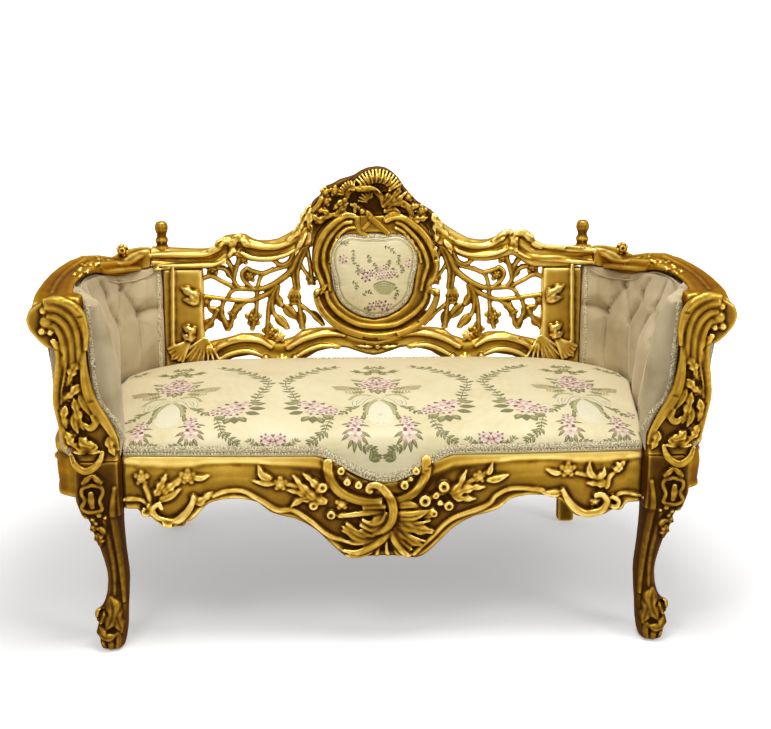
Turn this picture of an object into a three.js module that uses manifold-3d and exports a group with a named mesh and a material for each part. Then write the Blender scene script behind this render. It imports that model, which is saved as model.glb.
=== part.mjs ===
// Giltwood open-back settee on four feet: a bowed and carved seat frame, a pierced back with an
// upholstered medallion, deep tufted arm pads that curve round the corners, and a sprung seat.
// Millimetres, +Z up, the front faces -Y, the origin is on the floor below the middle of the settee.
import * as THREE from 'three';
import { mergeVertices } from 'three/addons/utils/BufferGeometryUtils.js';
import Module from 'manifold-3d';

const wasm = await Module();
wasm.setup();

// Overall sizes. The arms bow out beyond the ends of the front rail.
const railHalf = 565;
const sideBow = 175;
const halfWidth = railHalf + sideBow;
const halfDepth = 358;
const seatRailTop = 440;
const backRise = 527;
const armRise = 361;

// Seat frame
const apronDrop = 244;
const dipDrop = 64;
const railSetBack = 26;
const railThick = 47;
const railBow = 15;
const railFrontFace = halfDepth - railSetBack;
const railRearFace = railFrontFace - railThick;
const railEndFace = railFrontFace - railBow;
const sideRailThick = 60;
const sideRailDrop = 122;
const railTurn = 0.35;
const innerRailDepth = 45;
const innerRailThick = 22.7;
const rearRailDrop = 88;
const rearRailThick = 42;
const blockTop = 432;
const blockDeep = 52;
const blockLeg = 74;
const blockSetShare = 0.6;
const blockRunShare = 2;
const blockSlantShare = 1.6;
const frontNotch = 36;
const rearNotch = 24;

// Legs and uprights
const kneeReach = 98;
const legBlockDeep = 96;
const legBlockRear = halfDepth - legBlockDeep;
const stileInset = 28;
const stileWidth = 103;
const stileOuter = railHalf - stileInset;
const stileInner = stileOuter - stileWidth;
const stileThick = 34;
const uprightDeep = 100;
const uprightFront = halfDepth - uprightDeep;
const blockInnerShare = 0.894;
const legSides = 12;

// Back
const backHalf = railHalf;
const stileStep = 17.2;
const backFace = uprightFront + stileStep;
const backRake = 0.091;
const crestThick = 36;
const lowRailThick = 34;
const medallionThick = 40;
const medallionProud = 4;
const frameBevel = 4;
const carvingBevel = 3;
const padCrown = 22;
const padEdge = 9;
const padSink = 14;
const coverSheet = 2;
const coverSink = 5;
const boardGap = 0.75;
const fretThick = 15;
const stemRadius = 5.4;
const twigRadius = 4;
const bossRadius = 11;
const bossSides = 5;
const leafThick = 11;
const shellRise = 15;
const shellBase = 1;
const shellRibs = 11;
const shellFan = 1.36;
const shellRootShare = 0.878;
const shellReachShare = 0.112;
const shellWideShare = 1.25;
const shellRadiusShares = [0.16, 0.45, 0.75, 0.97];
const shellFurrowShare = 0.55;
const pierceSides = 6;
const finialRadius = 18;
const finialHigh = 66;
const rosetteRadius = 15;
const rosetteHigh = 16;
const rosettePlaceShare = 0.6;
const rosetteLiftShare = 0.5;

// Arms
const postThick = 46;
const postSetBack = 6;
const postFront = halfDepth - postSetBack;
const postInset = 2;
const postReach = sideBow - postInset;
const postBevel = 3.5;
const padSetBack = 14;
const armPadFront = postFront - padSetBack;
const armPadBulge = 12;
const armPadShare = 0.9;
const armHollowShare = 0.1;
const padColumns = 26;
const padRows = 11;
const tuftDepth = 20;
const tuftFade = 0.6;
const tuftRoomShare = 0.5;
const pleatDepth = 9;
const armRows = 2;
const hessianThick = 1.8;
const hessianShare = 0.74;

// Seat
const seatCrown = 48;
const seatColumns = 22;
const seatSideShare = 0.35;
const dipEndShare = 0.26;
const seatEdge = 14;
const seatBackGap = 3.2;
const seatBackLine = backFace - seatBackGap;
const seatSideGap = 2.5;
const noseSink = 4;
const springCount = 7;
const springWire = 1.9;
const springSides = 3;
const springSway = 24;
const springBends = 7;
const springDrop = 5.6;
const springMargin = 55;
const springSpan = 2 * (railHalf - springMargin);
const sheetThick = 2.4;
const dustDrop = 92.5;

// One clearance serves every seat between two pieces, and one overrun every cut.
const clearance = 0.3;
const overrun = 12;
const weld = 1e-4;

// Lower edge of the front rail: shares of railHalf, and of apronDrop below the rail's top.
const apronLowShares = [
  [0, 0.971], [0.06, 0.975], [0.092, 0.992], [0.124, 1], [0.149, 0.98], [0.17, 0.943],
  [0.188, 0.902], [0.262, 0.721], [0.304, 0.652], [0.347, 0.602], [0.398, 0.574],
  [0.439, 0.541], [0.464, 0.492], [0.485, 0.447], [0.515, 0.422], [0.565, 0.406], [0.618, 0.414],
  [0.657, 0.434], [0.687, 0.471], [0.708, 0.525], [0.726, 0.582], [0.749, 0.623], [0.788, 0.643],
  [0.865, 0.615], [0.885, 0.582], [0.897, 0.566], [0.913, 0.586], [0.931, 0.574],
  [0.943, 0.516], [0.952, 0.504], [1, 0.504],
];
// The dip in its top edge: shares of railHalf and of dipDrop.
const apronDipShares = [
  [0, 1], [0.027, 0.984], [0.08, 0.891], [0.138, 0.656], [0.177, 0.312], [0.209, 0.047],
  [0.239, 0], [1, 0],
];
// Moulded sections: share of the thickness from the rear face, share of the height.
const apronSectionShares = [
  [0, 0], [0.84, 0], [1, 0.05], [0.9, 0.12], [0.96, 0.5], [0.84, 0.8], [1, 0.88], [0.93, 1],
  [0, 1],
];
const crestSectionShares = [
  [0, 0], [0.78, 0], [1, 0.12], [0.98, 0.32], [0.74, 0.45], [0.96, 0.62], [0.96, 0.86],
  [0.78, 1], [0, 1],
];
const lowRailSectionShares = [
  [0, 0], [0.8, 0], [1, 0.2], [0.86, 0.5], [1, 0.8], [0.8, 1], [0, 1],
];

// The back is drawn in shares of backHalf across, and of backRise above the seat rail.
// The crest is carved a little higher on its left than on its right.
const crestInnerLeftShares = [
  [0.28, 0.825], [0.296, 0.805], [0.315, 0.772], [0.329, 0.742], [0.345, 0.713], [0.363, 0.694],
];
const crestInnerRightShares = [
  [0.28, 0.771], [0.296, 0.751], [0.315, 0.728], [0.329, 0.716], [0.345, 0.706], [0.363, 0.694],
];
const crestTopShares = [
  [0.398, 0.672], [0.435, 0.653], [0.485, 0.645], [0.522, 0.647], [0.554, 0.66], [0.579, 0.679],
  [0.628, 0.677], [0.671, 0.67], [0.694, 0.647], [0.731, 0.611], [0.779, 0.607], [0.867, 0.611],
  [1, 0.619],
];
const crestLowShares = [
  [0.28, 0.626], [0.322, 0.615], [0.347, 0.602], [0.382, 0.575], [0.419, 0.56], [0.455, 0.548],
  [0.51, 0.546], [0.558, 0.552], [0.6, 0.565], [0.635, 0.581], [0.66, 0.556], [0.697, 0.529],
  [0.733, 0.516], [0.779, 0.516], [0.867, 0.518], [1, 0.528],
];
const cartoucheRightShares = [
  [0.018, 1], [0.053, 0.994], [0.083, 0.975], [0.113, 0.945], [0.14, 0.9], [0.193, 0.838],
  [0.23, 0.81], [0.262, 0.79], [0.28, 0.771],
];
const cartoucheLeftShares = [
  [0, 1], [0.025, 0.994], [0.055, 0.981], [0.085, 0.96], [0.115, 0.949], [0.15, 0.939],
  [0.184, 0.918], [0.214, 0.907], [0.232, 0.884], [0.241, 0.863], [0.265, 0.843], [0.28, 0.825],
];
const medallionTopShares = [
  [0, 0.77], [0.053, 0.774], [0.106, 0.782], [0.152, 0.778], [0.186, 0.761], [0.212, 0.74],
  [0.235, 0.717], [0.25, 0.696], [0.262, 0.668], [0.269, 0.643],
];
const medallionSideShares = [
  [0.278, 0.607], [0.28, 0.56], [0.276, 0.522], [0.262, 0.482], [0.248, 0.44], [0.242, 0.41],
];
const medallionLowShares = [
  [0.264, 0.381], [0.253, 0.342], [0.228, 0.298], [0.191, 0.252], [0.149, 0.218], [0.087, 0.19],
  [0.035, 0.175], [0, 0.171],
];
const padOutlineShares = [
  [0, 0.664], [0.055, 0.674], [0.106, 0.683], [0.145, 0.679], [0.177, 0.657], [0.195, 0.617],
  [0.198, 0.56], [0.193, 0.514], [0.184, 0.448], [0.177, 0.398], [0.154, 0.349], [0.112, 0.311],
  [0.057, 0.281], [0, 0.269],
];
const lowRailTopShares = [
  [0.168, 0.218], [0.209, 0.218], [0.271, 0.218], [0.326, 0.209], [0.338, 0.192], [0.375, 0.169],
  [0.425, 0.156], [0.451, 0.159], [0.487, 0.175], [0.522, 0.192], [0.563, 0.194], [0.609, 0.192],
  [0.646, 0.178], [0.699, 0.165], [0.742, 0.156], [0.768, 0.15],
];
const lowRailLowShares = [
  [0, 0.085], [0.039, 0.093], [0.087, 0.11], [0.119, 0.123], [0.15, 0.127], [0.181, 0.125],
  [0.223, 0.116], [0.26, 0.106], [0.29, 0.085], [0.327, 0.065], [0.365, 0.055], [0.419, 0.049],
  [0.469, 0.055], [0.504, 0.068], [0.529, 0.083], [0.561, 0.091], [0.591, 0.087], [0.641, 0.078],
  [0.683, 0.057], [0.708, 0.053], [0.768, 0.055],
];
// Gaps pierced through the crest carving: across, up, and half width and half height.
const piercedShares = [
  [0.07, 0.806, 0.03, 0.011], [-0.062, 0.805, 0.022, 0.012], [0.129, 0.818, 0.022, 0.012],
  [-0.122, 0.825, 0.02, 0.014], [-0.168, 0.812, 0.02, 0.013], [0.19, 0.79, 0.018, 0.012],
];
// Stems of the fretwork, each a run of points, and the bosses where flowers sit on it.
const stemShares = [
  [[0.305, 0.63], [0.342, 0.503], [0.396, 0.429], [0.448, 0.4], [0.497, 0.391], [0.596, 0.387],
    [0.641, 0.402], [0.689, 0.442], [0.79, 0.43]],
  [[0.396, 0.429], [0.457, 0.362], [0.529, 0.334], [0.605, 0.338], [0.713, 0.334], [0.79, 0.345]],
];
const twigShares = [
  [[0.42, 0.42], [0.433, 0.36], [0.435, 0.317], [0.423, 0.254], [0.36, 0.2], [0.35, 0.18]],
  [[0.4, 0.44], [0.4, 0.503], [0.464, 0.465], [0.536, 0.474], [0.558, 0.5]],
  [[0.46, 0.505], [0.478, 0.454], [0.483, 0.4], [0.503, 0.338], [0.508, 0.279], [0.52, 0.18]],
  [[0.6, 0.39], [0.63, 0.44], [0.651, 0.528], [0.665, 0.56]],
  [[0.6, 0.39], [0.606, 0.46], [0.611, 0.537], [0.6, 0.58]],
  [[0.689, 0.442], [0.706, 0.49], [0.72, 0.54]],
  [[0.335, 0.53], [0.332, 0.45], [0.326, 0.376], [0.31, 0.28], [0.29, 0.21]],
  [[0.326, 0.376], [0.271, 0.444], [0.25, 0.455]],
  [[0.605, 0.338], [0.6, 0.27], [0.632, 0.207], [0.64, 0.17]],
  [[0.713, 0.334], [0.69, 0.28], [0.725, 0.19], [0.73, 0.14]],
  [[0.336, 0.56], [0.347, 0.531], [0.414, 0.527], [0.46, 0.565]],
];
const bossShares = [
  [0.559, 0.446, 1], [0.706, 0.49, 1.1], [0.517, 0.254, 1.2], [0.326, 0.376, 1.3],
  [0.271, 0.444, 1], [0.593, 0.266, 0.9], [0.632, 0.207, 0.8], [0.428, 0.19, 0.9],
  [0.772, 0.349, 1.1], [0.336, 0.273, 0.9], [0.69, 0.28, 0.8],
];
// Leaves of the fretwork: root, tip, and half width as a share of the leaf's length.
const leafShares = [
  [0.328, 0.33, 0.292, 0.238, 0.3], [0.43, 0.33, 0.352, 0.205, 0.26],
  [0.604, 0.41, 0.65, 0.528, 0.28], [0.6, 0.41, 0.55, 0.5, 0.3], [0.69, 0.33, 0.662, 0.25, 0.4],
  [0.5, 0.34, 0.56, 0.29, 0.35], [0.448, 0.4, 0.475, 0.47, 0.35],
];

// Leg: share of seatRailTop, outer and inner reach in shares of kneeReach from railHalf,
// front face in shares of halfDepth, rear face in shares of legBlockRear.
const legShares = [
  [0, 0.56, 0.15, 0.983, 1.135], [0.009, 0.6, 0.11, 0.994, 1.13], [0.04, 0.66, 0.07, 1, 1.115],
  [0.095, 0.694, 0.03, 0.994, 1.1], [0.143, 0.694, 0.02, 0.978, 1.084],
  [0.186, 0.643, 0.02, 0.95, 1.069], [0.22, 0.56, 0.01, 0.916, 1.057],
  [0.266, 0.5, 0, 0.897, 1.05], [0.33, 0.47, -0.02, 0.888, 1.046], [0.382, 0.48, -0.02, 0.891, 1.042],
  [0.443, 0.531, 0, 0.899, 1.038], [0.511, 0.602, 0.02, 0.913, 1.03],
  [0.589, 0.684, 0.03, 0.933, 1.023], [0.655, 0.77, 0.03, 0.955, 1.015],
  [0.707, 0.857, 0.02, 0.978, 1.008],
];
const legTopShares = [
  [0.722, 0.9, 0, 0.986, 1], [0.805, 1, 0, 1, 1], [0.91, 1, 0, 0.994, 1], [1, 0.97, 0, 0.983, 1],
];
// Rear leg: share of seatRailTop, outer and inner share of stileOuter, front and rear share of
// uprightFront.
const rearLegShares = [
  [0, 1.027, 0.944, 1.217, 1.387], [0.1, 1.022, 0.938, 1.18, 1.34], [0.3, 1.006, 0.927, 1.095, 1.25],
  [0.5, 0.998, 0.922, 1.03, 1.19], [0.7, 0.998, 0.91, 1, 1.2], [0.784, 1, 0.894, 1, 1.233],
  [1, 1, 0.894, 1, 1.233],
];

// Arm post outline: shares of postReach beyond railHalf, and of armRise above the seat rail.
const postShares = [
  [0, 0], [0.538, 0], [0.613, 0.136], [0.647, 0.203], [0.665, 0.308], [0.647, 0.442],
  [0.595, 0.556], [0.578, 0.622], [0.601, 0.672], [0.665, 0.692], [0.763, 0.689], [0.861, 0.733],
  [0.965, 0.797], [1, 0.856], [0.954, 0.917], [0.85, 0.95], [0.723, 0.978], [0.584, 0.992],
  [0.468, 0.997], [0.353, 0.986], [0.341, 0.894], [0.341, 0.761], [0.318, 0.622], [0.306, 0.483],
  [0.289, 0.428], [0.26, 0.356], [0.214, 0.292], [0.145, 0.25], [0.069, 0.2], [0.023, 0.147],
  [0, 0.092],
];

// Plans of the bowed side, from its front end to the back upright: shares of sideBow beyond the
// front rail, and of the run from that end to the rear of the back. Entries of the same number
// lie one above the other.
const sideRailPlanShares = [
  [0.556, 0], [0.746, 0.02], [0.907, 0.073], [0.979, 0.169], [1, 0.283], [0.979, 0.405],
  [0.899, 0.527], [0.784, 0.64], [0.611, 0.745], [0.416, 0.832], [0.213, 0.914], [0.036, 0.967],
  [-0.157, 0.994],
];
const armOuterPlanShares = [
  [0.983, 0], [1, 0.074], [1, 0.147], [1, 0.228], [0.996, 0.334], [0.97, 0.447], [0.915, 0.569],
  [0.818, 0.682], [0.679, 0.796], [0.531, 0.89], [0.383, 0.962], [0.201, 1.017], [0.002, 1.043],
];
const armInnerPlanShares = [
  [0.459, 0], [0.509, 0.071], [0.548, 0.147], [0.577, 0.236], [0.581, 0.334], [0.564, 0.447],
  [0.518, 0.561], [0.459, 0.666], [0.383, 0.763], [0.298, 0.844], [0.205, 0.914], [0.108, 0.962],
  [0.002, 0.985],
];
const coverLowPlanShares = [
  [0.636, 0], [0.738, 0.05], [0.818, 0.119], [0.869, 0.22], [0.886, 0.334], [0.869, 0.447],
  [0.81, 0.557], [0.704, 0.657], [0.577, 0.757], [0.391, 0.837], [0.188, 0.912], [0.015, 0.964],
  [-0.07, 0.981], [-0.157, 0.991],
];
const coverTopPlanShares = [
  [0.839, 0], [0.86, 0.074], [0.865, 0.147], [0.865, 0.228], [0.86, 0.334], [0.839, 0.447],
  [0.797, 0.565], [0.721, 0.675], [0.598, 0.786], [0.463, 0.878], [0.323, 0.948], [0.167, 0.998],
  [0.002, 1.023], [-0.157, 1.025],
];
const padLowPlanShares = [
  [-0.006, 0], [0.044, 0.071], [0.091, 0.147], [0.133, 0.22], [0.188, 0.334], [0.239, 0.439],
  [0.302, 0.544], [0.366, 0.649], [0.383, 0.731], [0.264, 0.809], [0.104, 0.873],
  [-0.036, 0.915], [-0.091, 0.93], [-0.157, 0.939],
];
const padTopPlanShares = [
  [0.154, 0], [0.323, 0.071], [0.45, 0.147], [0.578, 0.236], [0.599, 0.334], [0.586, 0.447],
  [0.539, 0.561], [0.476, 0.666], [0.4, 0.763], [0.315, 0.844], [0.222, 0.914], [0.119, 0.968],
  [0.002, 0.99], [-0.157, 0.99],
];
// Heights along the arm rail in shares of armRise above the seat rail.
const armRidgeShares = [
  0.931, 0.962, 0.97, 0.975, 0.978, 0.977, 0.974, 0.966, 0.93, 0.884, 0.914, 0.911, 0.906,
];
const armOuterLowShares = [
  0.819, 0.839, 0.847, 0.856, 0.861, 0.861, 0.861, 0.853, 0.81, 0.756, 0.767, 0.769, 0.772,
];
const armInnerTopShares = [
  0.965, 0.972, 0.974, 0.974, 0.97, 0.96, 0.945, 0.925, 0.895, 0.872, 0.89, 0.9, 0.903,
];
const armInnerLowShares = [
  0.922, 0.939, 0.944, 0.944, 0.939, 0.925, 0.894, 0.85, 0.794, 0.767, 0.767, 0.767, 0.772,
];
// How far the arm rail's height has passed over to that of the crest rail it meets, and the share
// of backRise that armRise stands for there.
const cornerShares = [0, 0, 0, 0, 0, 0, 0, 0, 0.3, 0.7, 1, 1, 1];
const cornerRiseShare = 0.683;
// Lower edge of the side rail, share of sideRailDrop below the seat rail's top.
const sideLowShares = [
  1, 1, 1.04, 1.06, 1, 0.88, 0.8, 0.78, 0.8, 0.84, 0.84, 0.78, 0.74,
];
// The seat's crown from front to back: share of its depth, share of seatCrown.
const seatCrownShares = [
  [0, 0.1], [0.03, 0.64], [0.09, 0.8], [0.2, 0.94], [0.36, 1], [0.54, 0.97], [0.7, 0.89],
  [0.84, 0.79], [0.94, 0.72], [1, 0.67],
];
// Two rows of buttons on an arm pad: column and row of the grid that its face is drawn on.
const tuftPlaces = [
  [6, 7], [10, 7], [14, 7], [18, 7], [22, 7], [4, 9], [8, 9], [12, 9], [16, 9], [20, 9], [24, 9],
];

function at(table, t, column = 1) {
  const last = table.length - 1;
  if (t <= table[0][0]) return table[0][column];
  if (t >= table[last][0]) return table[last][column];
  const next = table.findIndex((row) => row[0] >= t);
  const [before, after] = [table[next - 1], table[next]];
  const share = (t - before[0]) / (after[0] - before[0]);
  return before[column] + share * (after[column] - before[column]);
}

function mix(a, b, share) {
  return a + (b - a) * share;
}

function backY(z) {
  return backFace + backRake * (z - seatRailTop);
}

// A closed skin over a run of rings with the same number of points, capped at both ends.
function skin(rings) {
  const count = rings[0].length;
  const positions = [];
  const index = [];
  for (const ring of rings) {
    for (const p of ring) positions.push(p.x, p.y, p.z);
  }
  for (let i = 0; i < rings.length - 1; i += 1) {
    for (let j = 0; j < count; j += 1) {
      const a = i * count + j;
      const b = i * count + ((j + 1) % count);
      index.push(a, b, b + count, a, b + count, a + count);
    }
  }
  for (const [a, b, c] of capFaces(rings[0])) index.push(a, c, b);
  const end = (rings.length - 1) * count;
  for (const [a, b, c] of capFaces(rings[rings.length - 1])) index.push(a + end, b + end, c + end);
  return outward(positions, index);
}

function ringNormal(ring) {
  const normal = new THREE.Vector3();
  ring.forEach((p, i) => {
    const q = ring[(i + 1) % ring.length];
    normal.x += (p.y - q.y) * (p.z + q.z);
    normal.y += (p.z - q.z) * (p.x + q.x);
    normal.z += (p.x - q.x) * (p.y + q.y);
  });
  return normal.normalize();
}

// Triangles over a nearly flat ring, wound as the ring is.
function capFaces(ring) {
  const normal = ringNormal(ring);
  const side = new THREE.Vector3().subVectors(ring[1], ring[0]);
  side.addScaledVector(normal, -side.dot(normal)).normalize();
  const up = new THREE.Vector3().crossVectors(normal, side);
  const flat = ring.map((p) => new THREE.Vector2(p.dot(side), p.dot(up)));
  return THREE.ShapeUtils.triangulateShape(flat, []).map(([a, b, c]) => {
    const turn = new THREE.Vector2().subVectors(flat[b], flat[a])
      .cross(new THREE.Vector2().subVectors(flat[c], flat[a]));
    return turn > 0 ? [a, b, c] : [a, c, b];
  });
}

// An indexed geometry whose faces all point out.
function outward(positions, index) {
  const faces = [...index];
  if (volumeOf(positions, faces) < 0) {
    for (let i = 0; i < faces.length; i += 3) {
      [faces[i + 1], faces[i + 2]] = [faces[i + 2], faces[i + 1]];
    }
  }
  const geometry = new THREE.BufferGeometry();
  geometry.setAttribute('position', new THREE.Float32BufferAttribute(positions, 3));
  geometry.setIndex(faces);
  return geometry;
}

function mirrored(geometry) {
  const twin = geometry.clone();
  twin.scale(-1, 1, 1);
  const index = twin.index.array;
  for (let i = 0; i < index.length; i += 3) {
    [index[i + 1], index[i + 2]] = [index[i + 2], index[i + 1]];
  }
  return twin;
}

// A ring pushed outwards in its own plane, for a cut that leaves a clearance.
function grown(ring, by) {
  if (by === 0) return ring;
  const normal = ringNormal(ring);
  return ring.map((p, i) => {
    const before = ring[(i + ring.length - 1) % ring.length];
    const after = ring[(i + 1) % ring.length];
    const a = new THREE.Vector3().subVectors(p, before).cross(normal).normalize();
    const b = new THREE.Vector3().subVectors(after, p).cross(normal).normalize();
    const away = a.add(b).normalize();
    const spread = Math.max(away.dot(b), Math.SQRT1_2);
    return p.clone().addScaledVector(away, by / spread);
  });
}

function weldedIndex(geometry) {
  const bare = geometry.clone();
  bare.deleteAttribute('normal');
  bare.deleteAttribute('uv');
  return mergeVertices(bare, weld);
}

function solidOf(geometry) {
  const merged = weldedIndex(geometry);
  return new wasm.Manifold(new wasm.Mesh({
    numProp: 3,
    vertProperties: new Float32Array(merged.attributes.position.array),
    triVerts: new Uint32Array(merged.index.array),
  }));
}

function volumeOf(source, faces) {
  let volume = 0;
  const p = (i) => new THREE.Vector3().fromArray(source, 3 * i);
  for (let i = 0; i < faces.length; i += 3) {
    volume += p(faces[i]).dot(p(faces[i + 1]).cross(p(faces[i + 2])));
  }
  return volume;
}

// The largest closed body of a solid, as a geometry, without the crumbs that a cut may leave.
function geometryOf(solid) {
  const mesh = solid.getMesh();
  const source = mesh.vertProperties;
  const faces = mesh.triVerts;
  const parent = Array.from({ length: mesh.numVert }, (_, i) => i);
  const root = (i) => {
    let r = i;
    while (parent[r] !== r) r = parent[r];
    return r;
  };
  for (let i = 0; i < faces.length; i += 3) {
    parent[root(faces[i + 1])] = root(faces[i]);
    parent[root(faces[i + 2])] = root(faces[i]);
  }
  const groups = new Map();
  for (let i = 0; i < faces.length; i += 3) {
    const key = root(faces[i]);
    if (!groups.has(key)) groups.set(key, []);
    groups.get(key).push(faces[i], faces[i + 1], faces[i + 2]);
  }
  const sized = [...groups.values()].map((group) => [volumeOf(source, group), group]);
  const largest = sized.sort((a, b) => b[0] - a[0])[0][1];
  return outward([...source], largest);
}

function joined(geometries) {
  return geometries.map(solidOf).reduce((all, next) => all.add(next));
}

function cutBy(geometry, cutters) {
  const solid = cutters.map(solidOf).reduce((rest, cutter) => rest.subtract(cutter),
    solidOf(geometry));
  return geometryOf(solid);
}

// A board drawn face on, from its outline in X and Z, laid on the raked plane of the back.
function backBoard(outline, holes, thick, proud, bevel) {
  const shape = new THREE.Shape(outline.map(([x, z]) => new THREE.Vector2(x, z)));
  for (const hole of holes) {
    shape.holes.push(new THREE.Path(hole.map(([x, z]) => new THREE.Vector2(x, z))));
  }
  const geometry = new THREE.ExtrudeGeometry(shape, {
    depth: thick - 2 * bevel,
    bevelEnabled: bevel > 0,
    bevelThickness: bevel,
    bevelSize: bevel,
    bevelOffset: -bevel,
    bevelSegments: 1,
    curveSegments: 4,
  });
  geometry.rotateX(Math.PI / 2);
  geometry.translate(0, thick - bevel - proud, 0);
  const places = geometry.attributes.position;
  for (let i = 0; i < places.count; i += 1) {
    places.setY(i, places.getY(i) + backY(places.getZ(i)));
  }
  return weldedIndex(geometry);
}

function backPoint([x, z]) {
  return [x * backHalf, seatRailTop + z * backRise];
}

function both(points) {
  const right = points.map(([x, z]) => [x, z]);
  const left = right.filter(([x]) => x !== 0).map(([x, z]) => [-x, z]).reverse();
  return [left, right];
}

// A moulded rail of the back: one section at each place across, on the raked plane.
function backRail(places, lowAt, topAt, thick, sectionShares, grow = 0) {
  const rings = places.map((x) => {
    const low = lowAt(x);
    const top = topAt(x);
    return grown(sectionShares.map(([reach, rise]) => {
      const z = mix(low, top, rise);
      return new THREE.Vector3(x, backY(z) + thick * (1 - reach), z);
    }), grow);
  });
  return skin(rings);
}

function merge(tables, nearest = 0.008) {
  const places = tables.flatMap((table) => table.map(([x]) => x)).sort((a, b) => a - b);
  return places.filter((x, i) => i === 0 || i === places.length - 1 || x - places[i - 1] > nearest);
}

function crestRail(innerShares, grow = 0) {
  const topShares = [...innerShares, ...crestTopShares];
  const stretch = grow > 0 ? overrun : 0;
  const places = merge([topShares, crestLowShares]).map((x) => x * backHalf);
  places[places.length - 1] += stretch;
  const low = (x) => seatRailTop + backRise * at(crestLowShares, x / backHalf);
  const top = (x) => seatRailTop + backRise * at(topShares, x / backHalf);
  return backRail(places, low, top, crestThick, crestSectionShares, grow);
}

const crestInner = crestLowShares[0][0];

function lowRailTop(x) {
  const share = Math.abs(x) / backHalf;
  const underPad = at([...medallionLowShares].reverse(), share);
  const plain = at(lowRailTopShares, share);
  const top = seatRailTop + backRise * plain;
  const trimmed = seatRailTop + backRise * underPad - boardGap;
  return Math.min(top, trimmed);
}

function lowerBackRail(grow = 0) {
  const half = merge([lowRailTopShares, lowRailLowShares, medallionLowShares.slice(4)], 0.014)
    .map((x) => Math.min(x * backHalf, stileInner - clearance));
  half[half.length - 1] = stileInner - clearance;
  const places = [...half.filter((x) => x > 0).map((x) => -x).reverse(), ...half];
  const low = (x) => seatRailTop + backRise * at(lowRailLowShares, Math.abs(x) / backHalf);
  return backRail(places, low, lowRailTop, lowRailThick, lowRailSectionShares, grow);
}

function medallionOutline() {
  const half = [...medallionTopShares, ...medallionSideShares, ...medallionLowShares].map(backPoint);
  const [left, right] = both(half);
  return [...right, ...left];
}

function padOutline(inset) {
  const [left, right] = both(padOutlineShares.map(backPoint));
  const ring = [...right, ...left].map(([x, z]) => new THREE.Vector3(x, 0, z));
  return grown(ring, -inset).map((p) => [p.x, p.z]);
}

function medallionFrame() {
  return backBoard(medallionOutline(), [padOutline(0).reverse()], medallionThick, medallionProud,
    frameBevel);
}

// The pad of the medallion bulges forward out of its frame, and its back is flat.
function medallionPad() {
  const crownShares = [[1, -1], [1, 0], [0.965, 0.42], [0.86, 0.72], [0.62, 0.93], [0.3, 1]];
  const outline = padOutline(clearance);
  const middle = (outline[0][1] + seatRailTop + backRise * padOutlineShares.at(-1)[1]) / 2;
  const front = padEdge - padCrown - medallionProud;
  return skin(crownShares.map(([size, rise]) => outline.map(([x, z]) => {
    const height = middle + (z - middle) * size;
    const y = rise < 0 ? padSink + padEdge : mix(padEdge, front, rise);
    return new THREE.Vector3(x * size, backY(height) + y, height);
  })));
}

function medallionBackCover() {
  const outline = padOutline(clearance);
  const inner = medallionThick - medallionProud - coverSheet - coverSink;
  return backBoard(outline, [], coverSheet, -inner, 0);
}

// Crest carving between the two crest rails, pierced, with a ribbed shell at its head.
function crestCartouche() {
  const [leftTop] = both(cartoucheLeftShares.map(backPoint));
  const rightTop = cartoucheRightShares.map(backPoint);
  const reach = crestInner * backHalf - clearance;
  const inside = ([x, z]) => [Math.max(-reach, Math.min(reach, x)), z];
  const [leftLow, rightLow] = both(medallionTopShares.map(backPoint)
    .map(([x, z]) => [x, z + boardGap]));
  const corner = seatRailTop + backRise * crestLowShares[0][1];
  const outline = [...leftTop, ...rightTop].map(inside).reverse();
  const bottom = [[-reach, corner], ...leftLow, ...rightLow, [reach, corner]];
  const rear = halfDepth - backY(seatRailTop + backRise);
  const holes = piercedShares.map(([x, z, wide, high]) => {
    const [cx, cz] = backPoint([x, z]);
    return Array.from({ length: pierceSides }, (_, i) => {
      const turn = -i * 2 * Math.PI / pierceSides;
      return [cx + wide * backHalf * Math.cos(turn) / 2, cz + high * backRise * Math.sin(turn)];
    });
  });
  const board = backBoard([...outline, ...bottom], holes, rear, 0, carvingBevel);
  return geometryOf(solidOf(board).add(solidOf(crestShell())));
}

// A fan of ribs that rises from the shell's root, drawn on polar stations.
function crestShell() {
  const root = seatRailTop + backRise * shellRootShare;
  const reach = backRise * shellReachShare;
  const steps = shellRibs * 2;
  const front = [];
  const back = [];
  for (let i = 0; i <= steps; i += 1) {
    const turn = mix(-shellFan, shellFan, i / steps);
    const rib = i % 2 === 0 ? 1 : shellFurrowShare;
    const [frontColumn, backColumn] = [[], []];
    for (const share of shellRadiusShares) {
      const x = reach * shellWideShare * share * Math.sin(turn);
      const z = root + reach * share * Math.cos(turn);
      const lift = shellBase + shellRise * rib * Math.sin(Math.PI * share);
      frontColumn.push(new THREE.Vector3(x, backY(z) - lift, z));
      backColumn.push(new THREE.Vector3(x, backY(z) + overrun, z));
    }
    front.push(frontColumn);
    back.push(backColumn);
  }
  return sheetSolid(front, back);
}

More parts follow.
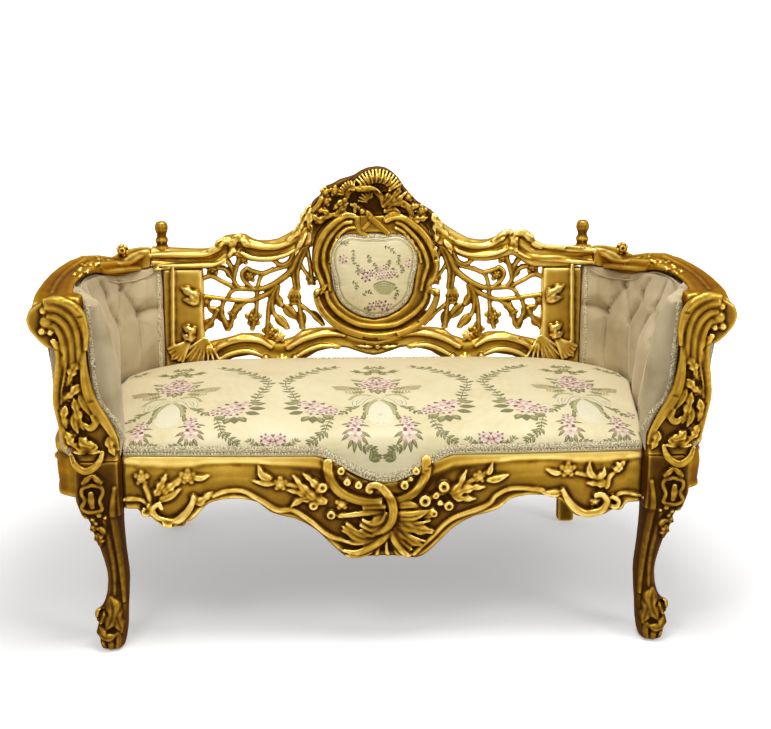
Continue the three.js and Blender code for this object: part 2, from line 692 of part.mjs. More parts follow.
// A closed body between two grids of points of the same size.
function sheetSolid(front, back) {
  const columns = front.length;
  const rows = front[0].length;
  const positions = [];
  const index = [];
  for (const grid of [front, back]) {
    for (const column of grid) for (const p of column) positions.push(p.x, p.y, p.z);
  }
  const place = (layer, i, j) => (layer * columns + i) * rows + j;
  for (let i = 0; i < columns - 1; i += 1) {
    for (let j = 0; j < rows - 1; j += 1) {
      const [a, b] = [place(0, i, j), place(0, i + 1, j)];
      const [c, d] = [place(0, i + 1, j + 1), place(0, i, j + 1)];
      index.push(a, b, c, a, c, d);
      const [e, f] = [place(1, i, j), place(1, i + 1, j)];
      const [g, h] = [place(1, i + 1, j + 1), place(1, i, j + 1)];
      index.push(e, g, f, e, h, g);
    }
  }
  const wall = (i, j, k, l) => {
    const [a, b, c, d] = [place(0, i, j), place(0, k, l), place(1, k, l), place(1, i, j)];
    index.push(a, c, b, a, d, c);
  };
  for (let i = 0; i < columns - 1; i += 1) {
    wall(i, 0, i + 1, 0);
    wall(i + 1, rows - 1, i, rows - 1);
  }
  for (let j = 0; j < rows - 1; j += 1) {
    wall(columns - 1, j, columns - 1, j + 1);
    wall(0, j + 1, 0, j);
  }
  return outward(positions, index);
}

// The open window of the back that the fretwork fills, drawn in from its frame by the clearance.
function fretWindow() {
  const edge = stileInner / backHalf;
  const crest = crestLowShares.filter(([x]) => x > 0.29 && x < 0.98 * edge);
  const side = [...medallionSideShares, ...medallionLowShares.slice(0, 4)];
  const rail = lowRailTopShares.filter(([x]) => x > 0.2 && x < 0.98 * edge);
  const outline = [
    [edge, at(crestLowShares, edge)], ...crest.reverse(), crestLowShares[0], ...side, ...rail,
    [edge, at(lowRailTopShares, edge)],
  ].map(backPoint);
  const ring = outline.map(([x, z]) => new THREE.Vector3(x, 0, z));
  return grown(ring, -clearance).map((p) => [p.x, p.z]);
}

function stem(points, radius, sides, steps) {
  const path = new THREE.CatmullRomCurve3(points.map(backPoint).map(([x, z]) => (
    new THREE.Vector3(x, backY(z) + crestThick / 2, z))), false, 'centripetal');
  const section = new THREE.Shape(Array.from({ length: sides }, (_, i) => {
    const turn = i * Math.PI * 2 / sides;
    return new THREE.Vector2(radius * Math.cos(turn), radius * Math.sin(turn));
  }));
  return weldedIndex(new THREE.ExtrudeGeometry(section, {
    steps,
    extrudePath: path,
    bevelEnabled: false,
  }));
}

function boss([x, z, size]) {
  const [cx, cz] = backPoint([x, z]);
  const bud = [[0, -0.5], [0.92, -0.22], [0.92, 0.22], [0, 0.5]];
  const flower = new THREE.LatheGeometry(bud.map(([r, h]) => (
    new THREE.Vector2(r * size * bossRadius, h * fretThick))), bossSides);
  flower.translate(cx, backY(cz) + crestThick / 2, cz);
  return weldedIndex(flower);
}

// A pointed leaf with a raised midrib, from its root to its tip.
function leafBlade([x0, z0, x1, z1, wideShare]) {
  const [root, tip] = [backPoint([x0, z0]), backPoint([x1, z1])].map((p) => new THREE.Vector2(...p));
  const run = new THREE.Vector2().subVectors(tip, root);
  const side = new THREE.Vector2(-run.y, run.x).multiplyScalar(wideShare);
  const bladeShares = [[-0.06, 0.15, 0.5], [0.35, 1, 1], [0.7, 0.72, 0.8], [1, 0.08, 0.3]];
  return skin(bladeShares.map(([along, wide, thick]) => {
    const middle = root.clone().addScaledVector(run, along);
    const y = backY(middle.y) + crestThick / 2;
    const [left, right] = [wide, -wide].map((w) => middle.clone().addScaledVector(side, w));
    const half = thick * leafThick / 2;
    return [
      new THREE.Vector3(left.x, y, left.y), new THREE.Vector3(middle.x, y - half, middle.y),
      new THREE.Vector3(right.x, y, right.y), new THREE.Vector3(middle.x, y + half, middle.y),
    ];
  }));
}

function fretwork() {
  const stems = stemShares.map((points) => stem(points, stemRadius, 5, 2 * points.length - 2));
  const twigs = twigShares.map((points) => stem(points, twigRadius, 4, points.length - 1));
  const all = joined([...stems, ...twigs, ...bossShares.map(boss), ...leafShares.map(leafBlade)]);
  const window = backBoard(fretWindow(), [], crestThick, 0, 0);
  const seated = [crestRail(crestInnerRightShares, clearance), lowerBackRail(clearance)]
    .reduce((rest, cutter) => rest.subtract(solidOf(cutter)), all.intersect(solidOf(window)));
  return geometryOf(seated);
}

// A rectangle with eased corners, the section of a leg at one height.
function easedRing(outer, inner, front, rear, z, easeShare) {
  const [cx, cy] = [(outer + inner) / 2, -(front + rear) / 2];
  const [a, b] = [(outer - inner) / 2, (front - rear) / 2];
  return Array.from({ length: legSides }, (_, i) => {
    const turn = (i + 0.5) * Math.PI * 2 / legSides;
    const [c, s] = [Math.cos(turn), Math.sin(turn)];
    const power = 2 / easeShare;
    const size = (Math.abs(c) ** power + Math.abs(s) ** power) ** (-1 / power);
    return new THREE.Vector3(cx + a * size * c, cy + b * size * s, z);
  });
}

function frontLeg() {
  const ring = (row, easeShare) => {
    const [height, outer, inner, front, rear] = row;
    return easedRing(railHalf + kneeReach * outer, railHalf + kneeReach * inner,
      halfDepth * front, legBlockRear * rear, seatRailTop * height, easeShare);
  };
  return skin([...legShares.map((row) => ring(row, 0.7)), ...legTopShares.map((row) => ring(row, 0.2))]);
}

// Rear leg and back stile are one piece, raked from the seat upwards.
function backUpright() {
  const low = rearLegShares.map(([height, outer, inner, front, rear]) => easedRing(
    stileOuter * outer, stileOuter * inner, -uprightFront * front, -uprightFront * rear,
    (seatRailTop - clearance) * height, 0.25));
  const stileTop = seatRailTop + backRise * at(crestLowShares, stileInner / backHalf) - clearance;
  const stile = [0, 0.5, 1].map((share) => {
    const z = mix(seatRailTop, stileTop, share);
    return easedRing(stileOuter, stileInner, -backY(z), -backY(z) - stileThick, z, 0.2);
  });
  return skin([...low, ...stile]);
}

function frontSeatRail(grow = 0) {
  const half = apronLowShares.map(([x]) => x * railHalf);
  half[half.length - 1] = railHalf - clearance + (grow > 0 ? overrun : 0);
  const places = [...half.filter((x) => x > 0).map((x) => -x).reverse(), ...half];
  return skin(places.map((x) => {
    const share = Math.abs(x) / railHalf;
    const low = seatRailTop - apronDrop * at(apronLowShares, share);
    const top = seatRailTop - dipDrop * at(apronDipShares, share);
    const front = mix(railFrontFace, railEndFace, share * share);
    return grown(apronSectionShares.map(([reach, rise]) => (
      new THREE.Vector3(x, -mix(railRearFace, front, reach), mix(low, top, rise))
    )), grow);
  }));
}

const armStart = postFront - postThick - clearance;

function planOf(table, front = armStart) {
  return table.map(([x, y]) => new THREE.Vector2(
    railHalf + x * sideBow, mix(-front, backFace + crestThick, y)));
}

// Unit normals of a plan, pointing to the middle of the settee.
function inwards(plan) {
  return plan.map((p, i) => {
    const before = plan[Math.max(0, i - 1)];
    const after = plan[Math.min(plan.length - 1, i + 1)];
    const run = new THREE.Vector2().subVectors(after, before).normalize();
    return new THREE.Vector2(-run.y, run.x);
  });
}

// The rail meets the leg square, and turns to run along the back as it meets the upright.
function sideRailNormals(plan) {
  const normals = inwards(plan);
  normals[0] = new THREE.Vector2(-1, 0);
  normals[normals.length - 2] = new THREE.Vector2(-backRake, -railTurn).normalize();
  normals[normals.length - 1] = new THREE.Vector2(0, -1);
  return normals;
}

function sideSeatRail() {
  const plan = planOf(sideRailPlanShares, legBlockRear - clearance);
  const normals = sideRailNormals(plan);
  const rings = plan.map((outer, i) => {
    const low = seatRailTop - sideRailDrop * sideLowShares[i];
    return apronSectionShares.map(([reach, rise]) => {
      const p = outer.clone().addScaledVector(normals[i], sideRailThick * (1 - reach));
      return new THREE.Vector3(p.x, p.y, mix(low, seatRailTop, rise));
    });
  });
  for (const p of rings[0]) p.y = -legBlockRear + clearance;
  for (const p of rings[rings.length - 1]) p.x = stileOuter + clearance;
  return skin(rings);
}

// Both side rails, shifted by the clearance each way, to cut what fits between them.
function besideRails() {
  const shifts = [[-clearance, 0], [0, clearance], [0, -clearance]];
  return shifts.flatMap(([x, y]) => {
    const cutter = sideSeatRail();
    cutter.translate(x, y, 0);
    return [cutter, mirrored(cutter)];
  });
}

// Heights of a line along the arm rail, which meets the crest rail level at the corner.
function armHeights(shares) {
  return shares.map((share, i) => (
    seatRailTop + share * mix(armRise, backRise * cornerRiseShare, cornerShares[i])));
}

// The arm rail turns from an upright moulding behind to a broad, flat one along the side.
function armRail(grow = 0) {
  const outer = planOf(armOuterPlanShares);
  const inner = planOf(armInnerPlanShares);
  const heights = [armRidgeShares, armInnerTopShares, armOuterLowShares, armInnerLowShares]
    .map(armHeights);
  const rings = outer.map((o, i) => {
    const point = (share, z) => new THREE.Vector3(
      mix(o.x, inner[i].x, share), mix(o.y, inner[i].y, share), z);
    const [ridge, rim, outLow, inLow] = heights.map((line) => line[i]);
    return grown([
      point(0.04, outLow), point(0, mix(outLow, ridge, 0.5)), point(0.08, ridge),
      point(0.3, ridge), point(0.5, mix(mix(ridge, rim, 0.5), outLow, armHollowShare)),
      point(0.72, rim), point(0.94, rim), point(1, mix(rim, inLow, 0.5)), point(0.96, inLow),
      point(0.5, mix(outLow, inLow, 0.5)),
    ], grow);
  });
  for (const p of rings[0]) p.y = -armStart;
  for (const p of rings[rings.length - 1]) p.x = backHalf + clearance - grow;
  return skin(rings);
}

function armPost(grow = 0) {
  const ring = postShares.map(([x, z]) => new THREE.Vector3(
    railHalf + x * postReach, 0, seatRailTop + clearance + z * armRise));
  const outline = grown(ring, grow).map((p) => new THREE.Vector2(p.x, p.z));
  const bevel = grow > 0 ? 0 : postBevel;
  const geometry = new THREE.ExtrudeGeometry(new THREE.Shape(outline), {
    depth: postThick - 2 * bevel + 2 * grow,
    bevelEnabled: bevel > 0,
    bevelThickness: bevel,
    bevelSize: bevel,
    bevelOffset: -bevel,
    bevelSegments: 1,
  });
  geometry.rotateX(Math.PI / 2);
  geometry.translate(0, postThick - bevel - postFront + grow, 0);
  return weldedIndex(geometry);
}

function smooth(plan, count) {
  const curve = new THREE.SplineCurve(plan);
  return curve.getPoints(count);
}

// One layer of the bowed arm, as a grid of points: share 0 is the line of the pad's face and
// share 1 the outside cover. Rows count up from the seat rail to just inside the arm rail.
function armLayer(share, away, firstRow = 0, lastRow = armRows) {
  const between = (a, b) => {
    const [pad, cover] = [planOf(a), planOf(b)];
    return pad.map((p, i) => p.clone().lerp(cover[i], share));
  };
  const low = between(padLowPlanShares, coverLowPlanShares);
  const high = between(padTopPlanShares, coverTopPlanShares);
  const normals = inwards(low);
  normals[0] = new THREE.Vector2(-1, 0);
  normals[normals.length - 1] = new THREE.Vector2(0, -1);
  const [innerLow, outerLow] = [armInnerLowShares, armOuterLowShares].map(armHeights);
  return low.map((p, i) => {
    const rim = Math.min(i, innerLow.length - 1);
    const top = overrun + mix(innerLow[rim], outerLow[rim], share);
    const column = [];
    for (let j = firstRow; j <= lastRow; j += 1) {
      const v = j / armRows;
      const q = p.clone().lerp(high[i], v).addScaledVector(normals[i], -away);
      column.push(new THREE.Vector3(q.x, q.y, mix(seatRailTop + clearance, top, v)));
    }
    return column;
  });
}

function endColumns(grids, x, y) {
  for (const grid of grids) {
    for (const p of grid.at(-1)) p.x = x;
    for (const p of grid[0]) p.y = y;
  }
}

// A thin sheet that stands on the side rail and follows the bow of the arm.
function armSheet(share, thick) {
  const [inner, outer] = [armLayer(share, 0), armLayer(share, thick)];
  endColumns([inner, outer], stileOuter + clearance, -armStart);
  return cutBy(sheetSolid(outer, inner), [armRail(clearance), crestRail(crestInnerRightShares, clearance)]);
}

// Everything outside one layer, grown by a clearance, to cut a form back to it.
function outsideLayer(share) {
  const [inner, outer] = [
    armLayer(share, -clearance, -1, armRows + 2), armLayer(share, sideRailThick * 2, -1, armRows + 2),
  ];
  endColumns([inner, outer], stileOuter - overrun, -armStart);
  return sheetSolid(outer, inner);
}

// Tufted pad of an arm: it follows the bowed side from the post round to the back upright.
function armPad() {
  const ahead = (plan) => [new THREE.Vector2(plan[0].x, -armPadFront), ...plan];
  const low = smooth(ahead(planOf(padLowPlanShares)), padColumns);
  const high = smooth(ahead(planOf(padTopPlanShares)), padColumns);
  const coverLow = smooth(ahead(planOf(coverLowPlanShares)), padColumns);
  const coverHigh = smooth(ahead(planOf(coverTopPlanShares)), padColumns);
  const normals = inwards(low);
  const rim = armHeights(armInnerLowShares);
  const heights = smooth([rim[0], ...rim, rim.at(-1)].map((h, i) => new THREE.Vector2(i, h)),
    padColumns);
  const front = [];
  const back = [];
  for (let i = 0; i <= padColumns; i += 1) {
    const top = heights[i].y + overrun;
    const faceColumn = [];
    const backColumn = [];
    for (let j = 0; j <= padRows; j += 1) {
      const v = j / padRows;
      const z = mix(seatRailTop + clearance, top, v);
      const p = low[i].clone().lerp(high[i], v);
      const behind = p.clone().lerp(coverLow[i].clone().lerp(coverHigh[i], v), armPadShare);
      const room = tuftRoomShare * hessianShare * p.distanceTo(behind) / tuftDepth;
      const swell = armPadBulge * Math.sin(Math.PI * v) - tuftAt(i, j) * Math.min(1, room);
      p.addScaledVector(normals[i], i === 0 || i === padColumns ? 0 : swell);
      faceColumn.push(new THREE.Vector3(p.x, p.y, z));
      backColumn.push(new THREE.Vector3(behind.x, behind.y, z));
    }
    front.push(faceColumn);
    back.push(backColumn);
  }
  for (const p of [...front.at(-1), ...back.at(-1)]) p.x = stileOuter + clearance;
  return cutBy(sheetSolid(front, back), [
    armPost(clearance), armRail(clearance), crestRail(crestInnerRightShares, clearance),
    outsideLayer(hessianShare),
  ]);
}

// A button draws the face in, and a pleat runs from the lower row of buttons down to the seat.
function tuftAt(column, row) {
  return tuftPlaces.reduce((deepest, [c, r]) => {
    const button = tuftDepth * Math.exp(-((column - c) ** 2 + (row - r) ** 2) * tuftFade);
    const isPleat = r === tuftPlaces[0][1] && row < r;
    const pleat = isPleat ? pleatDepth * Math.exp(-((column - c) ** 2) * tuftFade) : 0;
    return Math.max(deepest, button, pleat);
  }, 0);
}

// Half width of the seat at one depth, clear of the arm pads.
function seatHalfAt(y) {
  const plan = planOf(padLowPlanShares).map((p) => [p.y, p.x]);
  return Math.min(at(plan, y), y < -postFront + postThick ? railHalf : halfWidth) - seatSideGap;
}

function seatCushion() {
  const nose = railFrontFace - noseSink;
  const top = [];
  const bottom = [];
  for (let i = 0; i <= seatColumns; i += 1) {
    const u = -1 + 2 * i / seatColumns;
    const side = mix(1, seatSideShare, Math.abs(u) ** 6);
    const bow = mix(nose, railEndFace - noseSink, u * u);
    const [topColumn, bottomColumn] = [[], []];
    for (const [share, crown] of seatCrownShares) {
      const y = mix(-bow, seatBackLine, share);
      const x = u * seatHalfAt(y);
      topColumn.push(new THREE.Vector3(x, y, seatRailTop + seatEdge + seatCrown * crown * side));
      const inDip = y < -railRearFace && Math.abs(x) < dipEndShare * railHalf;
      const low = inDip ? seatRailTop - dipDrop : seatRailTop + clearance;
      bottomColumn.push(new THREE.Vector3(x, y, low));
    }
    top.push(topColumn);
    bottom.push(bottomColumn);
  }
  const inner = boxAt([-railHalf, -railRearFace - clearance, seatRailTop - dipDrop - overrun],
    [railHalf, 0, seatRailTop + clearance]);
  return cutBy(sheetSolid(bottom, top), [frontSeatRail(clearance), inner]);
}

function boxAt(low, high) {
  const box = new THREE.BoxGeometry(high[0] - low[0], high[1] - low[1], high[2] - low[2]);
  box.translate((low[0] + high[0]) / 2, (low[1] + high[1]) / 2, (low[2] + high[2]) / 2);
  return weldedIndex(box);
}

function rearSeatRail() {
  const reach = stileOuter * blockInnerShare - clearance;
  return boxAt([-reach, uprightFront, seatRailTop - rearRailDrop],
    [reach, uprightFront + rearRailThick, seatRailTop - 2 * clearance]);
}

function innerFrontRail() {
  const reach = railHalf - clearance;
  return boxAt([-reach, -railRearFace + clearance, seatRailTop - innerRailDepth],
    [reach, -railRearFace + innerRailThick - clearance, seatRailTop]);
}

// Outline of the space inside the seat frame, for the sheets that close it.
function framePlan(front, rear, cornerFront, cornerRear) {
  const plan = planOf(sideRailPlanShares, legBlockRear - clearance);
  const normals = sideRailNormals(plan);
  const half = plan.slice(1, -2)
    .map((p, i) => p.clone().addScaledVector(normals[i + 1], sideRailThick + 2 * clearance))
    .filter((p) => p.y > -legBlockRear + 2 * clearance && p.y < cornerRear);
  const legSide = railHalf - 2 * clearance;
  const backSide = stileOuter * blockInnerShare - 2 * clearance;
  const right = [
    new THREE.Vector2(legSide, -front), new THREE.Vector2(legSide, -cornerFront),
    new THREE.Vector2(half[0].x - frontNotch, -cornerFront), ...half,
    new THREE.Vector2(half.at(-1).x - rearNotch, cornerRear),
    new THREE.Vector2(backSide, cornerRear), new THREE.Vector2(backSide, rear),
  ];
  const left = right.map((p) => new THREE.Vector2(-p.x, p.y)).reverse();
  return [...right, ...left];
}

function flatSheet(plan, low, thick) {
  const geometry = new THREE.ExtrudeGeometry(new THREE.Shape(plan), {
    depth: thick,
    bevelEnabled: false,
  });
  geometry.translate(0, 0, low);
  return weldedIndex(geometry);
}

function springCover() {
  const corner = legBlockRear - 2 * clearance;
  const rear = uprightFront - clearance;
  const sheet = flatSheet(framePlan(corner, rear, corner, rear),
    seatRailTop - sheetThick - clearance, sheetThick);
  return cutBy(sheet, besideRails());
}

function dustCover() {
  const sheet = flatSheet(
    framePlan(railRearFace - clearance, uprightFront + rearRailThick / 2,
      legBlockRear - clearance, uprightFront - 2 * clearance),
    seatRailTop - dustDrop, sheetThick - 2 * clearance);
  return cutBy(sheet, besideRails());
}

// A zigzag spring that spans from the front of the frame to the rear rail.
function seatSpring(x) {
  const [from, to] = [-railRearFace + innerRailThick, uprightFront - clearance];
  const z = seatRailTop - springDrop;
  const steps = springBends * 2;
  const points = [new THREE.Vector3(x, from, z)];
  for (let i = 0; i <= steps; i += 1) {
    const inEnds = i === 0 || i === steps;
    const sway = inEnds ? 0 : springSway * (i % 2 === 0 ? 1 : -1);
    points.push(new THREE.Vector3(x + sway, mix(from + springSway, to - springSway, i / steps), z));
  }
  points.push(new THREE.Vector3(x, to, z));
  const path = new THREE.CatmullRomCurve3(points, false, 'catmullrom', 0.6);
  const section = new THREE.Shape(Array.from({ length: springSides }, (_, i) => {
    const turn = i * Math.PI * 2 / springSides;
    return new THREE.Vector2(springWire * Math.cos(turn), springWire * Math.sin(turn));
  }));
  return weldedIndex(new THREE.ExtrudeGeometry(section, {
    steps: steps * 2,
    extrudePath: path,
    bevelEnabled: false,
  }));
}

// A glued block in a corner of the frame, a triangle seen from above.
function cornerBlock(atRear) {
  const y = atRear ? uprightFront - clearance : -legBlockRear + clearance;
  const reach = atRear ? -blockLeg : blockLeg;
  const start = (atRear ? stileOuter : railHalf) - blockSetShare * blockLeg;
  const end = start + blockRunShare * blockLeg;
  const shape = new THREE.Shape([
    new THREE.Vector2(start, y), new THREE.Vector2(end, y),
    new THREE.Vector2(end, y + blockSlantShare * reach),
  ]);
  const geometry = new THREE.ExtrudeGeometry(shape, { depth: blockDeep, bevelEnabled: false });
  geometry.translate(0, 0, blockTop - blockDeep);
  return cutBy(weldedIndex(geometry), besideRails());
}

// Rose finial that stands on the crest rail above each upright.
function roseFinial() {
  const x = stileOuter;
  const crest = seatRailTop + backRise * at(crestTopShares, x / backHalf);
  const bud = [
    [0, -0.2], [0.95, -0.2], [1, 0], [0.72, 0.14], [0.98, 0.3], [0.66, 0.44], [0.7, 0.56],
    [0.95, 0.7], [0.92, 0.86], [0.7, 1], [0.34, 1], [0.3, 0.92], [0, 0.9],
  ];
  const profile = bud.map(([r, h]) => new THREE.Vector2(r * finialRadius, h * finialHigh));
  const geometry = new THREE.LatheGeometry(profile, 10);
  geometry.rotateX(Math.PI / 2);
  geometry.translate(x, backY(crest) + crestThick / 2, crest);
  return cutBy(weldedIndex(geometry), [crestRail(crestInnerRightShares, clearance)]);
}

// Rosette that faces forward on the dip of the arm rail.
function railRosette() {
  const [near, far] = [9, 10];
  const [outer, inner] = [armOuterPlanShares, armInnerPlanShares].map((table) => (
    planOf(table)[near].lerp(planOf(table)[far], rosettePlaceShare)));
  const ridge = armHeights(armRidgeShares);
  const z = mix(ridge[near], ridge[far], rosettePlaceShare) + rosetteRadius * rosetteLiftShare;
  const bud = [
    [0, -0.5], [0.6, -0.5], [1, -0.1], [0.95, 0.3], [0.62, 0.5], [0.5, 0.3], [0.36, 0.55],
    [0, 0.6],
  ];
  const profile = bud.map(([r, h]) => new THREE.Vector2(r * rosetteRadius, h * rosetteHigh));
  const geometry = new THREE.LatheGeometry(profile, 10);
  const middle = outer.lerp(inner, 0.45);
  geometry.translate(middle.x, middle.y, z);
  return cutBy(weldedIndex(geometry), [armRail(clearance)]);
}

const root = new THREE.Group();

function place(name, geometry, colour, roughness, metalness) {
  const material = new THREE.MeshStandardMaterial({ color: colour, roughness, metalness });
  const mesh = new THREE.Mesh(geometry, material);
  mesh.name = name;
  root.add(mesh);
}

const gilt = (name, geometry) => place(name, geometry, 0xc8962a, 0.38, 0.75);
const timber = (name, geometry) => place(name, geometry, 0xb98d5c, 0.7, 0);
const velvet = (name, geometry) => place(name, geometry, 0xc4b299, 0.9, 0);
const brocade = (name, geometry) => place(name, geometry, 0xe6ddc0, 0.8, 0);
const jute = (name, geometry) => place(name, geometry, 0xa98f63, 0.95, 0);
const steel = (name, geometry) => place(name, geometry, 0x8d9094, 0.35, 1);

function pair(make, name, geometry) {
  make(`${name}_right`, geometry);
  make(`${name}_left`, mirrored(geometry));
}

gilt('front_seat_rail', frontSeatRail());
pair(gilt, 'side_seat_rail', sideSeatRail());
pair(gilt, 'front_leg', frontLeg());
pair(gilt, 'back_upright', backUpright());
pair(gilt, 'arm_post', armPost());
pair(gilt, 'arm_rail', armRail());
gilt('crest_rail_right', crestRail(crestInnerRightShares));
gilt('crest_rail_left', mirrored(crestRail(crestInnerLeftShares)));
gilt('crest_cartouche', crestCartouche());
gilt('medallion_frame', medallionFrame());
gilt('lower_back_rail', lowerBackRail());
pair(gilt, 'fretwork', fretwork());
pair(gilt, 'rose_finial', roseFinial());
pair(gilt, 'rail_rosette', railRosette());
timber('rear_seat_rail', rearSeatRail());
timber('inner_front_rail', innerFrontRail());
pair(timber, 'front_corner_block', cornerBlock(false));
pair(timber, 'rear_corner_block', cornerBlock(true));
pair(velvet, 'arm_pad', armPad());
pair(velvet, 'arm_outside_cover', armSheet(1, coverSheet));
pair(jute, 'arm_hessian', armSheet(hessianShare, hessianThick));
brocade('medallion_pad', medallionPad());
brocade('medallion_back_cover', medallionBackCover());
brocade('seat_cushion', seatCushion());
jute('spring_cover', springCover());
jute('dust_cover', dustCover());
for (let i = 0; i < springCount; i += 1) {
  const x = mix(-springSpan / 2, springSpan / 2, i / (springCount - 1));
  steel(`seat_spring_${i + 1}`, seatSpring(x));
}

export default root;
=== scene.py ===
# %% [markdown]
# # Carved and gilded settee with an upholstered medallion
# The measured model gives every piece its place. Each carved rail is dressed here as a carver and
# a gilder would finish it: ornament is laid on the measured blank, both are fused into one skin,
# and the gold is darkened in the hollows. All lengths in this notebook are in millimetres until a
# mesh is made, because the ornament was drawn in millimetres.

# %% Load the measured frame
import bmesh
import bpy
import math
import numpy as np
from mathutils import Matrix, Vector
from mathutils.bvhtree import BVHTree


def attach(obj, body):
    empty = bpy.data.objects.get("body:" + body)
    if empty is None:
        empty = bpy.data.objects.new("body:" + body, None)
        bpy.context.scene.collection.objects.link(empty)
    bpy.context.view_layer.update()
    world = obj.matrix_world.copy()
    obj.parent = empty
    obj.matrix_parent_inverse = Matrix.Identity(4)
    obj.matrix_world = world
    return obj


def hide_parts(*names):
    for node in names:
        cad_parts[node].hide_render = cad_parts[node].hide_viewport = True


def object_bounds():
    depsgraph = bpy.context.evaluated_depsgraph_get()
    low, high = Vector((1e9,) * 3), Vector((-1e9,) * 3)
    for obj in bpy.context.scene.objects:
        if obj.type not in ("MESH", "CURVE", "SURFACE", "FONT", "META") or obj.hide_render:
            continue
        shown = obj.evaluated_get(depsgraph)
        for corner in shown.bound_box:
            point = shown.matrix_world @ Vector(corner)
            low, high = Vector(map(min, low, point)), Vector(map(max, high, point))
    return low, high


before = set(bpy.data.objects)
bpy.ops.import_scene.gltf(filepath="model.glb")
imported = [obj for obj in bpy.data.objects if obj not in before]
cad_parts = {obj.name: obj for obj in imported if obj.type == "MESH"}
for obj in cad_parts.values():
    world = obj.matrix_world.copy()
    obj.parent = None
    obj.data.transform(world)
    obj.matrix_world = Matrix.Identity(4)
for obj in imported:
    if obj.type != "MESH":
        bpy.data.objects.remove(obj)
cad_low, cad_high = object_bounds()
MM = 0.001
UP = np.array([0, 0, 1.0])
print("frame", len(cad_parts), "nodes", [round(v, 3) for v in cad_high])

# %% [markdown]
# ## Camera
# The camera stands a little left of the middle, at standing eye level, and looks down on the seat.
# Its place was found by matching the feet, rails and crest of the measured model to the picture.

# %% Camera
CAMERA_PLACE = (-132.6, -2944.6, 1423.5)
CAMERA_YAW, CAMERA_PITCH, CAMERA_ROLL = 2.889, 16.575, 0.327
LENS = 60.63

camera = bpy.data.objects.new("camera", bpy.data.cameras.new("camera"))
camera.data.lens = LENS
camera.data.sensor_width = 36.0
camera.matrix_world = (
    Matrix.Translation(Vector(CAMERA_PLACE) * MM)
    @ Matrix.Rotation(math.radians(-CAMERA_YAW), 4, "Z")
    @ Matrix.Rotation(math.radians(90 - CAMERA_PITCH), 4, "X")
    @ Matrix.Rotation(math.radians(CAMERA_ROLL), 4, "Z")
)
bpy.context.scene.collection.objects.link(camera)
bpy.context.scene.camera = camera
print("camera at", [round(v, 3) for v in camera.location])

# %% [markdown]
# ## Helpers for node materials
# Colours are written as they look on screen and changed to linear light once, in one function.
# One function adds any node, sets its values and joins its inputs.

# %% Material helpers
def linear(code):
    """Linear RGBA of an sRGB hex colour."""
    parts = [int(code[i:i + 2], 16) / 255 for i in (1, 3, 5)]
    return [v / 12.92 if v <= 0.04045 else ((v + 0.055) / 1.055) ** 2.4 for v in parts] + [1.0]


def feed(tree, made, **inputs):
    """Sets a node's inputs to plain values, or links them to a node or to (node, output)."""
    for key, value in inputs.items():
        socket = made.inputs[int(key[1:]) if key[1:].isdigit() else key.replace("_", " ")]
        if isinstance(value, tuple) and isinstance(value[0], bpy.types.Node):
            tree.links.new(value[0].outputs[value[1]], socket)
        elif isinstance(value, bpy.types.Node):
            tree.links.new(value.outputs[0], socket)
        else:
            socket.default_value = value


def node(tree, kind, settings=None, stops=(), **inputs):
    """Adds a node with its settings, its inputs and, on a ramp, its stops of place and colour."""
    made = tree.nodes.new(kind)
    for key, value in (settings or {}).items():
        setattr(made, key, value)
    if stops:
        elements = made.color_ramp.elements
        for place, code in stops[1:-1]:
            elements.new(place).color = linear(code)
        for k, (place, code) in ((0, stops[0]), (len(elements) - 1, stops[-1])):
            elements[k].position, elements[k].color = place, linear(code)
    feed(tree, made, **inputs)
    return made


def material(name):
    """An empty node material, with its tree, its Principled shader and object coordinates."""
    made = bpy.data.materials.new(name)
    made.use_nodes = True
    tree = made.node_tree
    shader = tree.nodes["Principled BSDF"]
    coords = node(tree, "ShaderNodeTexCoord")
    return made, tree, shader, (coords, "Object")


print("material helpers ready")
